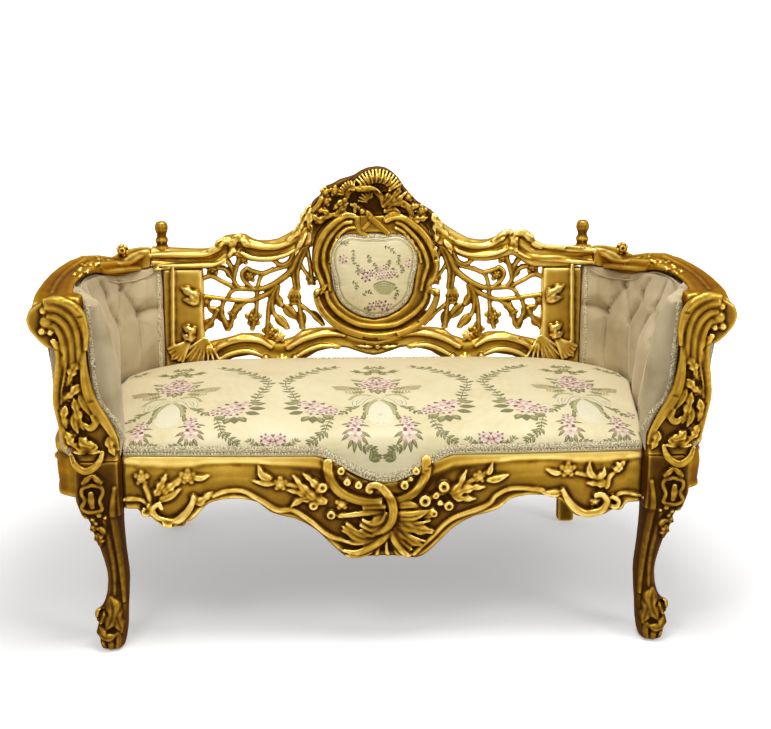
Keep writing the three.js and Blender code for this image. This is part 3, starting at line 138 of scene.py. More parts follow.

# %% [markdown]
# ## Gilding
# The carved wood carries gold leaf over red-brown bole. On the real piece the leaf is rubbed bright
# on the ridges, keeps a deeper yellow on the flats and is toned with brown in the hollows. The
# hollows come from a value stored on each vertex, which compares the skin with a smoothed copy of
# itself. The same value also carries painted light: undersides are painted darker and tops lighter,
# as painted shade and painted light from above, faces that point to the back are toned darker, and
# the bare ground of some pieces gets painted shade, and on the apron a painted highlight too. Faint
# cloudy noise makes the leaf uneven, and a fine bump keeps the brush marks of the gesso.

# %% Gilt material
def gilt_material(name):
    made, tree, shader, place = material(name)
    # The stored value holds the toning of the hollows and the painted light of tops, undersides and
    # bare ground.
    recess_and_painted_light = node(tree, "ShaderNodeAttribute", {"attribute_name": "recess_and_painted_light"})
    cloud = node(tree, "ShaderNodeTexNoise", Vector=place, Scale=38.0, Detail=4.0, Roughness=0.6)
    broad = node(tree, "ShaderNodeTexNoise", Vector=place, Scale=6.0, Detail=2.0)
    shift = node(tree, "ShaderNodeMath", {"operation": "MULTIPLY_ADD"}, i0=cloud, i1=0.16, i2=-0.08)
    wide = node(tree, "ShaderNodeMath", {"operation": "MULTIPLY_ADD"}, i0=broad, i1=0.16, i2=-0.08)
    toning_and_painted_light = node(tree, "ShaderNodeMath", {"operation": "ADD"}, i0=(recess_and_painted_light, "Fac"), i1=shift)
    toning_and_painted_light = node(tree, "ShaderNodeMath", {"operation": "ADD"}, i0=toning_and_painted_light, i1=wide)
    colour = node(tree, "ShaderNodeValToRGB", i0=toning_and_painted_light, stops=[
        (0.12, "#EBCF78"), (0.33, "#C0983A"), (0.5, "#946F20"), (0.66, "#664514"),
        (0.82, "#43270B"), (1.0, "#2A1605")])
    metal = node(tree, "ShaderNodeMapRange", Value=toning_and_painted_light, From_Min=0.55, From_Max=0.9,
                 To_Min=0.94, To_Max=0.45)
    rough = node(tree, "ShaderNodeMapRange", Value=toning_and_painted_light, From_Min=0.3, From_Max=0.85,
                 To_Min=0.3, To_Max=0.6)
    brush = node(tree, "ShaderNodeTexNoise", Vector=place, Scale=420.0, Detail=2.0)
    bump = node(tree, "ShaderNodeBump", Strength=0.12, Distance=0.0006, Height=brush)
    feed(tree, shader, Base_Color=colour, Metallic=metal, Roughness=rough, Normal=bump,
         Specular_IOR_Level=0.2, Specular_Tint=linear("#C79A45"))
    return made


GILT = gilt_material("burnished_gold_leaf")
print("gilding", len(GILT.node_tree.nodes), "nodes")

# %% [markdown]
# ## Mesh helpers
# Shapes are arrays of points and triangles. `along` draws a smooth line through given points,
# `closed` makes a body from rings and `slab` one from a front and a back sheet.

# %% Mesh helpers
def unit(vectors, least=1e-9):
    return vectors / (np.linalg.norm(vectors, axis=1)[:, None] + least)


def along(points, step=3.0):
    """A smooth line through points, with its places as shares of its length."""
    points = np.asarray(points, float)
    if len(points) == 2:
        points = np.array([points[0], points.mean(0), points[1]])
    padded = np.vstack([2 * points[0] - points[1], points, 2 * points[-1] - points[-2]])
    line = []
    for i in range(1, len(padded) - 2):
        a, b, c, d = padded[i - 1:i + 3]
        count = max(2, int(np.linalg.norm(c - b) / step))
        t = np.linspace(0, 1, count, endpoint=False)[:, None]
        line.append(0.5 * (2 * b + (c - a) * t + (2 * a - 5 * b + 4 * c - d) * t ** 2
                           + (3 * b - a - 3 * c + d) * t ** 3))
    line = np.vstack(line + [points[-1:]])
    run = np.r_[0, np.cumsum(np.linalg.norm(np.diff(line, axis=0), axis=1))]
    return line, run / run[-1]


def quads(rows, cols, around=False):
    r = np.arange(rows - 1)[:, None]
    c = np.arange(cols if around else cols - 1)[None, :]
    n = (c + 1) % cols
    return np.stack([r * cols + c, r * cols + n, (r + 1) * cols + n, (r + 1) * cols + c],
                    -1).reshape(-1, 4)


def triangles(faces):
    faces = np.asarray(faces)
    return np.vstack([faces[:, [0, 1, 2]], faces[:, [0, 2, 3]]])


def closed(rings, first, last):
    """A body from rings of points, closed by a point at each end."""
    count, sides = rings.shape[:2]
    verts = np.vstack([rings.reshape(-1, 3), first, last])
    j = np.arange(sides)
    k = (j + 1) % sides
    end = (count - 1) * sides
    return verts, np.vstack([triangles(quads(count, sides, True)),
                             np.stack([np.full(sides, len(verts) - 2), k, j], 1),
                             np.stack([np.full(sides, len(verts) - 1), end + j, end + k], 1)])


def rod(points, radius, flat=1.0, sides=8, step=3.0):
    """A tapering rod along points of (x, height above the surface, z)."""
    line, share = along(points, step)
    size = np.interp(share, np.linspace(0, 1, len(radius)), radius)
    run = unit(np.gradient(line, axis=0))
    side = unit(np.cross(run, [0.0, 1.0, 0.0]), 1e-6)
    up = np.cross(side, run)
    turn = np.linspace(0, 2 * np.pi, sides, endpoint=False)
    rings = (np.cos(turn)[None, :, None] * side[:, None] + flat * np.sin(turn)[None, :, None]
             * up[:, None]) * size[:, None, None] + line[:, None]
    return closed(rings, line[:1] - run[:1] * size[0] * 0.5, line[-1:] + run[-1:] * size[-1] * 0.5)


def dome(x, z, wide, high, rise, turn=0.0, base=0.0, count=10):
    """A low rounded boss."""
    a = np.linspace(0, 2 * np.pi, count, endpoint=False)
    b = np.linspace(-np.pi / 2, np.pi / 2, 7)[1:-1]
    rings = np.stack([np.outer(np.cos(b), np.cos(a)) * wide,
                      np.outer(np.sin(b), np.ones(count)) * rise,
                      np.outer(np.cos(b), np.sin(a)) * high], -1)
    verts, faces = closed(rings, [0, -rise, 0], [0, rise, 0])
    c, s = math.cos(turn), math.sin(turn)
    moved = np.stack([verts[:, 0] * c - verts[:, 2] * s + x, verts[:, 1] + base,
                      verts[:, 0] * s + verts[:, 2] * c + z], 1)
    return moved, faces[:, ::-1]


def slab(front, back):
    """One body between two grids of points of the same size."""
    rows, cols = front.shape[:2]
    verts = np.vstack([front.reshape(-1, 3), back.reshape(-1, 3)])
    face = triangles(quads(rows, cols))
    half = rows * cols
    rim = np.r_[np.arange(cols), np.arange(1, rows) * cols + cols - 1,
                (rows - 1) * cols + np.arange(cols - 2, -1, -1), np.arange(rows - 2, 0, -1) * cols]
    after = np.roll(rim, -1)
    wall = np.vstack([np.stack([rim, rim + half, after + half], 1),
                      np.stack([rim, after + half, after], 1)])
    return verts, np.vstack([face, face[:, ::-1] + half, wall])


def leaf(line_points, width, rise=5.0, lobes=3, sink=3.0):
    """A carved leaf with a sunk vein and lobed edges, from its root along a line of (x, h, z)."""
    line, v = along(line_points, 2.5)
    run = unit(np.gradient(line, axis=0))
    side = unit(np.cross(run, [0, 1.0, 0]), 1e-6)
    u = np.linspace(-1, 1, 11)
    body = np.sin(np.pi * np.clip(v, 0.02, 0.985) ** 0.7) ** 0.75
    notch = 1 - 0.42 * np.abs(np.cos(np.pi * lobes * v)) ** 3 * (v < 0.92)
    half = width / 2 * body * (notch if lobes > 1 else 1)
    swell = rise * (0.35 + 0.65 * np.sin(np.pi * np.clip(v, 0, 1) ** 0.8))
    high = swell[:, None] * (np.sqrt(np.clip(1 - u ** 2, 0, 1))[None] * 0.9 + 0.1
                             - 0.35 * np.exp(-(u / 0.18) ** 2)[None])
    if lobes > 1:
        ribs = np.cos(np.pi * lobes * (v[:, None] - 0.12 * np.abs(u)[None]))
        high *= 1 - 0.22 * np.abs(ribs) ** 2
    front = line[:, None] + side[:, None] * (half[:, None] * u[None])[..., None]
    back = front.copy()
    front[..., 1] += high
    back[..., 1] -= sink
    return slab(front, back)


def rose(x, z, size, rise=8.0, turn=0.0):
    """An open rose: two rings of petals round a bud."""
    made = []
    for ring, (reach, wide, high) in enumerate(((0.6, 0.46, 0.42), (0.3, 0.32, 0.7))):
        for k in range(5):
            a = turn + 2 * np.pi * (k + 0.5 * ring) / 5
            made.append(dome(x + reach * size * math.cos(a), z + reach * size * math.sin(a),
                             wide * size, wide * size * 0.82, rise * high, a, rise * 0.1))
    made.append(dome(x, z, 0.2 * size, 0.2 * size, rise))
    return join(made)


def join(parts):
    verts, faces, count = [], [], 0
    for v, f in parts:
        verts.append(v)
        faces.append(np.asarray(f) + count)
        count += len(v)
    return np.vstack(verts), np.vstack(faces)


def mirror(part):
    verts, faces = part
    return verts * [-1, 1, 1], faces[:, ::-1]


def arrays(mesh):
    """Points in millimetres and triangles of a Blender mesh."""
    verts = np.empty(len(mesh.vertices) * 3)
    mesh.vertices.foreach_get("co", verts)
    mesh.calc_loop_triangles()
    faces = np.empty(len(mesh.loop_triangles) * 3, int)
    mesh.loop_triangles.foreach_get("vertices", faces)
    return verts.reshape(-1, 3) / MM, faces.reshape(-1, 3)


def blank(name):
    """The measured solid of a node, to carve."""
    return arrays(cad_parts[name].data)


def add_object(name, verts, faces, made_of, slot, stands_for=()):
    """A piece of the settee from points in millimetres."""
    mesh = bpy.data.meshes.new(name)
    mesh.from_pydata((np.asarray(verts) * MM).tolist(), [], np.asarray(faces).tolist())
    mesh.validate()
    mesh.polygons.foreach_set("use_smooth", [True] * len(mesh.polygons))
    mesh.materials.append(made_of)
    piece = bpy.data.objects.new(name, mesh)
    bpy.context.scene.collection.objects.link(piece)
    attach(piece, "root")
    if stands_for:
        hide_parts(*stands_for)
    return piece


def both_sides(name, part, made_of, slot, stands_for=None):
    """A piece on the right and its mirror image on the left."""
    return [add_object(f"{name}_{side}", *shape, made_of, slot,
                       [f"{stands_for}_{side}"] if stands_for else [])
            for side, shape in (("right", part), ("left", mirror(part)))]


print("mesh helpers ready")

# %% [markdown]
# ## Carving helpers
# `settle` drops ornament onto the blank, as a carver leaves it standing proud of the ground.
# `skin` fuses all solids of a piece into one closed surface of even squares, `relax` eases it, and
# `hollows` finds how deep each point lies in the carving, for the gilder's toning.

# %% Carving helpers
VOXEL = 2.3


def skin(verts, faces, voxel=VOXEL):
    """One even surface round overlapping solids."""
    mesh = bpy.data.meshes.new("rough")
    mesh.from_pydata((verts * MM).tolist(), [], faces.tolist())
    rough = bpy.data.objects.new("rough", mesh)
    bpy.context.scene.collection.objects.link(rough)
    remesh = rough.modifiers.new("skin", "REMESH")
    remesh.mode = "VOXEL"
    remesh.voxel_size = voxel * MM
    remesh.adaptivity = 0.0
    made = bpy.data.meshes.new_from_object(
        rough.evaluated_get(bpy.context.evaluated_depsgraph_get()))
    points = np.empty(len(made.vertices) * 3)
    made.vertices.foreach_get("co", points)
    loops = np.empty(len(made.loops), int)
    made.loops.foreach_get("vertex_index", loops)
    totals = np.empty(len(made.polygons), int)
    made.polygons.foreach_get("loop_total", totals)
    bpy.data.objects.remove(rough)
    bpy.data.meshes.remove(mesh)
    bpy.data.meshes.remove(made)
    return points.reshape(-1, 3) / MM, loops.reshape(-1, int(totals[0]))


def edges_of(faces):
    pairs = np.vstack([faces[:, [i, (i + 1) % faces.shape[1]]] for i in range(faces.shape[1])])
    return np.unique(np.sort(pairs, axis=1), axis=0)


def relax(verts, faces, times, weight=0.5, edges=None):
    """Each point moves towards the middle of its neighbours, the given number of times."""
    edges = edges_of(faces) if edges is None else edges
    a, b = edges[:, 0], edges[:, 1]
    count = np.bincount(a, minlength=len(verts)) + np.bincount(b, minlength=len(verts))
    moved = verts.copy()
    for _ in range(times):
        total = np.stack([np.bincount(a, moved[b, k], len(verts))
                          + np.bincount(b, moved[a, k], len(verts)) for k in range(3)], 1)
        moved += weight * (total / np.maximum(count, 1)[:, None] - moved)
    return moved


def normals_of(verts, faces):
    p = verts[faces]
    face = np.cross(p[:, 1] - p[:, 0], p[:, 2] - p[:, 0])
    if faces.shape[1] == 4:
        face = np.cross(p[:, 2] - p[:, 0], p[:, 3] - p[:, 1])
    total = np.stack([sum(np.bincount(faces[:, i], face[:, k], len(verts))
                          for i in range(faces.shape[1])) for k in range(3)], 1)
    return unit(total, 1e-12)


def hollows(verts, faces, depth=2.2, times=26):
    """0.5 on plain ground, more in hollows, less on ridges."""
    edges = edges_of(faces)
    out = normals_of(verts, faces)
    fine = relax(verts, faces, 5, edges=edges)
    wide = relax(fine, faces, times, edges=edges)
    broad, near = [((eased - verts) * out).sum(1) / depth for eased in (wide, fine)]
    return np.clip(0.5 + 0.5 * (broad / 2.2 + near * 1.7), 0, 1)


def settle(part, tree, fallback):
    """Drops (x, height, z) ornament onto the blank, seen from the front."""
    verts, faces = part
    placed = verts.copy()
    for i, (x, high, z) in enumerate(verts):
        hit = tree.ray_cast(Vector((x, fallback(z) - 60, z)), Vector((0, 1, 0)), 95)
        ground = hit[0].y if hit[0] is not None else fallback(z)
        placed[i] = x, ground - high, z
    return placed, faces


def tree_of(verts, faces):
    return BVHTree.FromPolygons(verts.tolist(), faces.tolist())


def gild(name, verts, faces, depth=2.2, tone=0.0, twin=None):
    """A finished gilded piece and its twin on the other side, with the hollows and the painted
    light on tops and undersides stored for the toning. More tone is darker."""
    out = normals_of(verts, faces)
    rear = np.clip(out[:, 1] * 1.5, 0, 1)
    # Painted light: undersides darker and tops lighter, as painted shade and light from above;
    # faces that point to the back are toned darker.
    toning_and_painted_light = hollows(verts, faces, depth) + tone * (1 - rear) + 0.16 * rear - 0.09 * out[:, 2]
    for stands_for, part in ((name, (verts, faces)), (twin, mirror((verts, faces)))):
        if stands_for:
            piece = add_object("carved_" + stands_for, *part, GILT, "gilt_wood", [stands_for])
            store = piece.data.attributes.new("recess_and_painted_light", "FLOAT", "POINT")
            store.data.foreach_set("value", np.clip(toning_and_painted_light, 0, 1))
    print(name, len(verts), "points")


def bare(verts, tree):
    """1 where the blank itself shows, 0 on ornament that stands 2 mm proud of it."""
    gap = [tree.find_nearest(Vector(v), 4.0)[3] for v in verts]
    return 1 - np.clip(np.array([4.0 if g is None else g for g in gap]) / 2.0, 0, 1)


def carve(name, ornament, ease=6, voxel=VOXEL, fallback=None, twin=None, depth=2.2, tone=0.0,
          shape=None, ground_painted_light=None):
    """Eases the blank, lays the ornament on it, fuses both and gilds the piece and its twin.
    Ornament is parts seen from the front, or a function that places them on the eased blank.
    The ground's painted light is a function of the points: where positive it darkens the ground
    between the ornament as painted shade, where negative it lightens it as a painted highlight."""
    verts, faces = skin(*blank(name), voxel)
    verts = relax(verts, faces, ease)
    ground = tree_of(verts, faces)
    laid = ornament(ground) if callable(ornament) else \
        [settle(part, ground, fallback) for part in ornament]
    verts, faces = skin(*join([(verts, triangles(faces)), *laid]), voxel)
    verts = relax(verts, faces, 1)
    verts[:, 2] = np.maximum(verts[:, 2], 0)
    tone = tone(verts) if callable(tone) else tone
    if ground_painted_light:
        # Painted light on the bare ground between the ornament: painted shade where the value is
        # positive, a painted highlight where it is negative.
        tone = tone + ground_painted_light(verts) * bare(verts, ground)
    gild(name, shape(verts) if shape else verts, faces, depth, tone, twin)


def nestle(part, point, out):
    """Sets (x, height, z) ornament on a point of a surface that faces any way."""
    verts, faces = part
    out = np.asarray(out) / np.linalg.norm(out)
    across = np.cross(UP, out)
    if np.linalg.norm(across) < 0.15:
        across = np.array([1.0, 0, 0])
    across /= np.linalg.norm(across)
    return verts @ np.stack([across, out, np.cross(out, across)]) + np.asarray(point), faces


print("carving helpers ready")

# %% [markdown]
# ## Places read from the picture
# The carver's drawing is kept as points seen in the picture. Each is sent from the camera to the
# face of the rail that carries it, so the ornament lies on the wood from any side.

# %% Places
PICTURE = 771, 729
FOCAL = LENS / 36.0 * PICTURE[0]
VIEW = np.array(camera.matrix_world.to_3x3())
EYE = np.array(CAMERA_PLACE)


def back_face(z):
    """Front face of the raked back, 275.2 mm behind the middle at the height of the seat rail."""
    return 275.2 + 0.091 * (z - 440)


def sight(px, py):
    return VIEW @ np.array([px - PICTURE[0] / 2, PICTURE[1] / 2 - py, -FOCAL])


def seen(plane, points):
    """Places (x, height, z) on a plane for points (px, py, height) of the picture."""
    made = []
    for px, py, *high in points:
        ray = sight(px, py)
        y = plane(600)
        for _ in range(6):
            x, _, z = EYE + ray * (y - EYE[1]) / ray[1]
            y = plane(z)
        made.append((x, high[0] if high else 2.0, z))
    return made


def seen_on(tree, px, py):
    """Point and outward direction of the surface seen at a place in the picture, or None."""
    ray = Vector(sight(px, py)).normalized()
    point, out = tree.ray_cast(Vector(EYE), ray, 6000)[:2]
    if point is None:
        return None
    return point, (-out if out.dot(ray) > 0 else out)


def back(*points):
    """Places on the raked back for points of the picture."""
    return seen(back_face, points)


def upright(y):
    """As back, on an upright plane at a depth."""
    return lambda *points: seen(lambda z: y, points)


apron, post, shin = upright(-334.0), upright(-352.0), upright(-345.0)


def bloom(plane, px, py, size, rise):
    """A rose at a place of the picture."""
    (x, _, z), = plane((px, py))
    return rose(x, z, size * 1.15, rise, 0.3)


def boss(plane, px, py, wide, rise, high=None, base=0.0, turn=0.0):
    """A dome at a place of the picture."""
    (x, _, z), = plane((px, py))
    return dome(x, z, wide, high or wide, rise, turn, base)


def button(plane, px, py, size, rise=8.0):
    """A round boss with a hole: a ring, a collar and a sunk eye."""
    (x, _, z), = plane((px, py))
    a = np.linspace(0, 2 * np.pi, 13)
    ring = np.stack([x + 0.5 * size * np.cos(a), np.full(13, rise * 0.6),
                     z + 0.5 * size * np.sin(a)], 1)
    return join([dome(x, z, size, size, rise * 0.7), rod(ring, [size * 0.33], sides=6)])


def places(text):
    """Groups of numbers, apart by blanks, with commas between the numbers of a group."""
    return [tuple(float(v) for v in word.split(",")) for word in text.split()]


def drawing(text):
    """Rows of a drawing: places (x,y or x,y,height), a semicolon, then sizes."""
    rows = []
    lines = [line for line in text.splitlines() if "#" not in line]
    for word in " ".join(lines).split():
        if "," not in word:
            rows[-1][1].append(float(word))
            continue
        if not rows or rows[-1][1]:
            rows.append(([], []))
        rows[-1][0].extend(places(word.strip(";")))
    return rows


def strands(plane, text, fuller=1.4):
    """Rods from a drawing. Sizes are the radii from first to last, then the flatness."""
    return [rod(plane(*points), np.array(sizes[:-1]) * fuller, sizes[-1] * 0.8)
            for points, sizes in drawing(text)]


def blades(plane, text, wider=1.55, sink=3.0, fuller=1.15):
    """Leaves from a drawing. Sizes are the width, the rise and the number of lobes."""
    return [leaf(plane(*points), width * wider, rise * fuller, lobes, sink)
            for points, (width, rise, lobes) in drawing(text)]


print("places ready")

# %% [markdown]
# ## The carved apron
# The front rail carries the richest carving: sprays of roses and acanthus, drilled bosses, broad
# straps that frame the dip under the seat, and a raised bead along its lower edge.

# %% Apron ornament
apron_strands = """
# lower bead, left half, then right half
112,503 127,502.5 140,503 147,508; 3.5 4 3 0.9
212,498 227,493 243,493 260,501.5 277,511 293,511.5 310,521.5 327,535 343,541.5 360,544; 3.5
    4 4 3 0.9
413,555 430,540 452,520 487,506.5 497,496.5 513,490 540,491.5 547,495; 3 4 4 3.5 0.9
617,499 625,495.5 640,497.5 655,501; 3 4 3.5 0.9
# straps that frame the dip
328,461 328,473 333,485 343,495 357,501 370,503 382,502.5; 8.5 8.5 8 7 0.75
426.5,457 426.5,470 423,482 415,493 402,500.5 390,502; 8.5 8.5 8 6 0.75
# the S scroll in the middle
371,493,6 367.5,489,8 371,484.5,9 379,485,11 387,492,13 392,502,14 393,513,14 389.5,523,12
    382,530,10 373,533,8; 4 5 6 7.5 8 8 7.5 7 6 4 0.9
# its flared, ribbed end and the straps behind it
387,512,8 382,520,9 373,523.5,9 362,519,7; 3 3.5 3.5 3 0.9
388,518,8 382,526.5,9 372,529.5,9 360,524.5,7; 3 3.5 3.5 3 0.9
384,531,7 371,535,8 360,530,6; 3 3.5 3 0.9
386,507.5,3 374,507.5,4 363,508.5,4; 4 4.5 4 0.7
385,513,3 366,513.5,5 350,515,5 338,517,3; 3 4.5 5 3 0.7
# bands that sweep down and to the left
391,530,7 381,540,9 369,547.5,9 356,552,7 342,550.5,4; 5 6.5 6 5 2 0.9
385,534,5 371,541,7 354,543.5,6 337,539,3; 3.5 4 3.5 2 0.9
379,546,4 364,555,5 346,556.5,4; 3 3.5 2.5 0.9
381,534,5 362,533,6 346,524,4; 2.5 3 2 0.8
379,538,5 358,538,6 342,531,4; 2.5 3 2 0.8
# bands and ribs that sweep down and to the right
391,531,7 395,541,9 401.5,549.5,9 408,555,8; 5 6 5.5 5 0.9
394,527,6 400,539,8 412,550,6; 3.5 4 2.5 0.9
396,518.5,7 413,522.5,9 431,521,5; 2.5 3 2 0.9
396,521,7 413,528.5,10 432,533,6; 3 3.5 2.5 0.9
395,523.5,7 409,534.5,9 425,541.5,5; 2.5 3 2 0.9
# flutes at the bottom of the drop
387,539,4 386.5,548,4 388,557,2; 2 3 3 0.8
380,545,4 377.5,551,4 377,557,2; 2 3 3 0.8
393.5,545,4 396,551,4 399,557,2; 2 3 3 0.8
# left scroll and its small volute
162,511,9 158,506,8 152,511,8 157,519.5,8 173,523,8 185,515,8 191.5,505,7 193,497,5; 4 5 6 7
    7 6 4 0.9
147,507,6 149.5,512,6 147,517,6 142,515,5 144,511,5; 4 4.5 4.5 4 0.9
# right scroll and its small volute
563,490,6 568,500,8 577,510,8 588,514.5,8 602,511.5,8 608,503,8 603,496,8 595,497,7; 4 6 7 7
    6.5 6 5 0.9
613,498,6 620,503,6 617,509,6 611,507,5; 4 4.5 4.5 4 0.9
# stems of the sprays
143,488 147,497 149,505; 4.5 4.5 3 0.8
154,498 166,490 180,481; 3 4 4 0.8
326,503 312,493 300,488 286,485; 5 5 4 3 0.8
425,502 440,494 462,486 480,478; 4 5 4 3 0.8
608,491 606,484 596,479 577,475; 3 4 4 3 0.8
609,489 611,480 617,474; 4 4 3 0.8
480,478 488,472 492,467; 3 3 3 0.8
"""
apron_leaves = """
154,499 160,488 165,477; 16 6 3
160,497 170,489 181,483; 15 6 3
158,503 170,498 180,491; 13 5 1
192,480 201,480 209,477; 9 5 1
195,506 203,501 212,494; 14 6 2
193,497 199,505 207,499; 10 5 1
272,480 262,476 258,467; 13 7 1
274,485 263,484 252,482; 9 6 1
327,504 312,497 293,477; 17 8 4
322,496 315,485 303,475; 14 7 3
318,497 303,494 287,491; 14 7 3
316,499 302,500 290,508; 15 7 2
326,505 314,499 300,490; 12 8 3
388,517,4 374,526,6 360,523,4; 26 6 1
383,534,3 362,538,5 342,527,3; 22 5 1
394,515,4 411,516,6 431,510,3; 17 7 1
395,520,5 414,528,8 434,531,4; 24 6 2
394,524,4 409,538,7 424,547,3; 22 6 2
395,507,2 408,505,4 422,508,2; 13 5 1
450,495 459,486 467,471; 13 7 2
452,496 468,489 485,488; 17 8 3
452,497 464,499 476,500; 14 7 2
487,481 497,480 509,476; 11 6 1
488,476 491,470 493,464; 10 8 1
434,509 430,515 424,518; 12 6 1
562,475 555,474 547,471; 9 5 1
597,480 591,474 591,464; 12 7 1
598,480 605,476 606,470; 10 6 1
617,475 620,470 628,464; 17 9 3
563,493 555,495 542,494; 12 7 1
608,487 598,486 588,485; 12 5 2
"""
apron_blooms = places("187,479,16 280,485,14 569,471.5,16 480,478,12 140,481,15 342,504.5,13")
apron_buttons = places("""
        322.5,488,14 313.5,506,13 331,515,13 341,471,11 347,482,11 358.5,485,11 416,471,11
        404.5,485,12 411,479,7 425,501,17 444,487,16 449,506,14 434,513.5,11 436,496,9 440,503,8""")
ornament = strands(apron, apron_strands) + blades(apron, apron_leaves)
ornament += [bloom(apron, *spot, rise=9) for spot in apron_blooms]
ornament += [bloom(apron, 596.5, 504, 10, rise=7)]
ornament += [button(apron, *spot, 11) for spot in apron_buttons]
ornament += [boss(apron, 370.5, 490.5, 9, 12), boss(apron, 408, 555, 9, 12)]


def middle_of_apron(verts):
    return np.clip(1.2 - np.abs(verts[:, 0] - 8) / 190, 0, 1)


# Painted light on the apron: its middle is toned darker, its bare ground there gets painted shade,
# and the upper ground of its side fields a painted highlight.
carve("front_seat_rail", ornament, voxel=VOXEL * 1.09, fallback=lambda z: -330.0,
      tone=lambda v: 0.04 + 0.09 * middle_of_apron(v),
      ground_painted_light=lambda v: 0.08 * middle_of_apron(v) - 0.2 * (1 - middle_of_apron(v))
      * np.clip((v[:, 2] - 395) / 20, 0, 1))

# %% [markdown]
# ## The shell crest
# Over the medallion stands a rocaille crest: a ribbed scallop, a smaller one beside it, a dark
# hollow with a beaded rim, acanthus to the right and small roses at both ends, pierced between.

# %% Crest ornament
def fan(plane, px, py, inner, outer, first, last, ribs, radius, high=5.0):
    """Ribs of a shell round a root. Reaches are in pixels, angles in degrees from upright."""
    made = []
    for angle in np.radians(np.linspace(first, last, ribs)):
        s, c = math.sin(angle), math.cos(angle)
        line = [(px + r * s, py - r * c, h) for r, h in
                ((inner, high * 0.4), ((inner + outer) / 2, high), (outer, high * 0.7))]
        made.append(rod(plane(*line), [radius * 0.6, radius, radius * 1.1], 1.1, sides=6))
    return made


crest = fan(back, 377, 196, 14, 27.5, -50, 62, 15, 3.0, 9)
crest += fan(back, 353, 195, 5, 15, -85, 5, 8, 2.6, 7)
crest += fan(back, 372, 203, 5, 14, -80, 0, 6, 2.4, 2)
crest_strands = """
347,197,4 349,191,9 356,188,12 365,187,13 374,189,12 381,197,9 382,204,5; 5 6 6 6.5 6 4 1.0
350,204,3 360,208,6 366,211,7; 3 4 4 0.9
357.5,216,5 357.5,225,5 361,232,5 371,237,5; 6 6 5 3 0.9
366,212,7 377,223,6 389,234,5; 7 7 5 0.9
372,219,5 362,230,5; 5 4 0.9
384,206,5 392,203,7 402,203,8 410,209,7 412,218,4; 4 6 7 6 5 0.8
384,211,4 394,209,5 400,213,4; 4 5 3 0.8
384,219,4 392,214,6 400,215,6; 5 6 5 0.9
316,222,4 325,217,5 337,214,5 347,213,5; 5 5 5 4 0.9
312,211,3 318,205,5 322,197,5; 5 5 5 0.9
345,198,6 345,205,5 343,212,4; 5 5 4 0.9
355,203,3 355,212,4; 4 4 0.9
382,206,5 390,199,8 400,190,8; 5 6 4 0.8
"""
crest_leaves = """
384,206,4 393,197,6 401,184,4; 15 8 4
385,207,4 397,200,6 407,191,4; 14 8 4
384,204,4 388,195,6 391,186,4; 13 7 3
410,206,4 415,206,5 419,204,4; 14 8 2
412,219,4 420,219,5 428,217,4; 15 8 2
325,220,4 318,219,5 311,214,4; 15 8 2
344,200,4 338,204,5 333,210,4; 12 7 2
346,206,4 340,209,5 335,215,4; 11 6 2
330,214,4 324,211,5 316,210,4; 11 6 2
"""
crest += strands(back, crest_strands) + blades(back, crest_leaves)
crest += [boss(back, *spot, 4.5, 6, base=12)
          for spot in places("349,190 352,188.5 355.5,187 359,186 363,185.5 367,185.8")]
crest += [bloom(back, *spot, rise=9)
          for spot in places("""
                  325,192,13 335,191,13 325.5,201,13 320,210,14 408,197,12 421,211,15 415,207,9
                  343,194,9""")]
crest += [boss(back, 362, 210.5, 9, 11, base=8), boss(back, 364, 216, 12, 7, high=5, base=5)]
# Painted shade on the bare ground of the crest between the ornament.
carve("crest_cartouche", crest, ease=3, voxel=1.9, fallback=back_face, tone=0.12,
      ground_painted_light=lambda v: np.full(len(v), 0.25))

# %% [markdown]
# ## Medallion frame and back rails
# The medallion sits in two layered C scrolls. The crest rails are moulded with a double ridge that
# curls over at each joint, with leaf sprays beside the crest. The lower rail has a rose where its
# scrolls meet.

# %% Medallion frame and back rails
medallion_strands = """
# outer strap, left and right
356,216 346,215 336,221 325,232 318,246 315.5,260 317,272 322,283 323,292; 5 6.5 7 7 7 6.5 6
    5 0.9
385,222 394,217 404,218 416,226.5 426,237 433,250 436.5,264 434,275 429,284 427.5,292; 5 6.5
    7 7 7 7 6.5 6 5 0.9
# inner ridge
352,222 342,224 332,234 325,247 323.5,262 328,277 330,290; 3 4 4.5 4.5 4.5 4 3 0.9
396,222 404,226 415,237 423,249 427.5,264 424,277 421,290; 3 4 4.5 4.5 4.5 4 3 0.9
356,228 346,229 337,238 331,250 330,262; 2.5 3 3.5 3 2.5 0.9
395,228 402,231 411,240 418,251 421,262; 2.5 3 3.5 3 2.5 0.9
# lower scrolls
316,291 317,299 322,310 331,320 343,328 359,334 377,336 395,334 411,328 422,320 431,310
    436,299 437,291; 6 7 7.5 7.5 7.5 7 7 7 7.5 7.5 7.5 7 6 0.9
326,291 329,301 337,311 348,319 361,324.5 377,326 393,324.5 405,319 416,311 424,301 427,291;
    4 4.5 5 5 5 5 5 5 5 4.5 4 0.9
"""
medallion_leaves = """
316,293 321,290 327,284; 13 8 2
437,293 432,290 426,284; 13 8 2
"""
medallion = strands(back, medallion_strands) + blades(back, medallion_leaves)
medallion += [boss(back, px, 291, 9, 9, base=4) for px in (317, 437)]


def level_notch(verts):
    """Lifts the middle of the pad's top edge, and the frame round it, to a shallow curve."""
    near = np.exp(-(verts[:, 0] / 34) ** 2)
    high = np.clip((verts[:, 2] - 745) / 30, 0, 1) * np.clip((850 - verts[:, 2]) / 50, 0, 1)
    return verts + np.stack([0 * near, 0 * near, 13 * near * high], 1)


carve("medallion_frame", medallion, ease=5, fallback=lambda z: back_face(z) - 4,
      shape=level_notch, depth=2.7, tone=0.07)

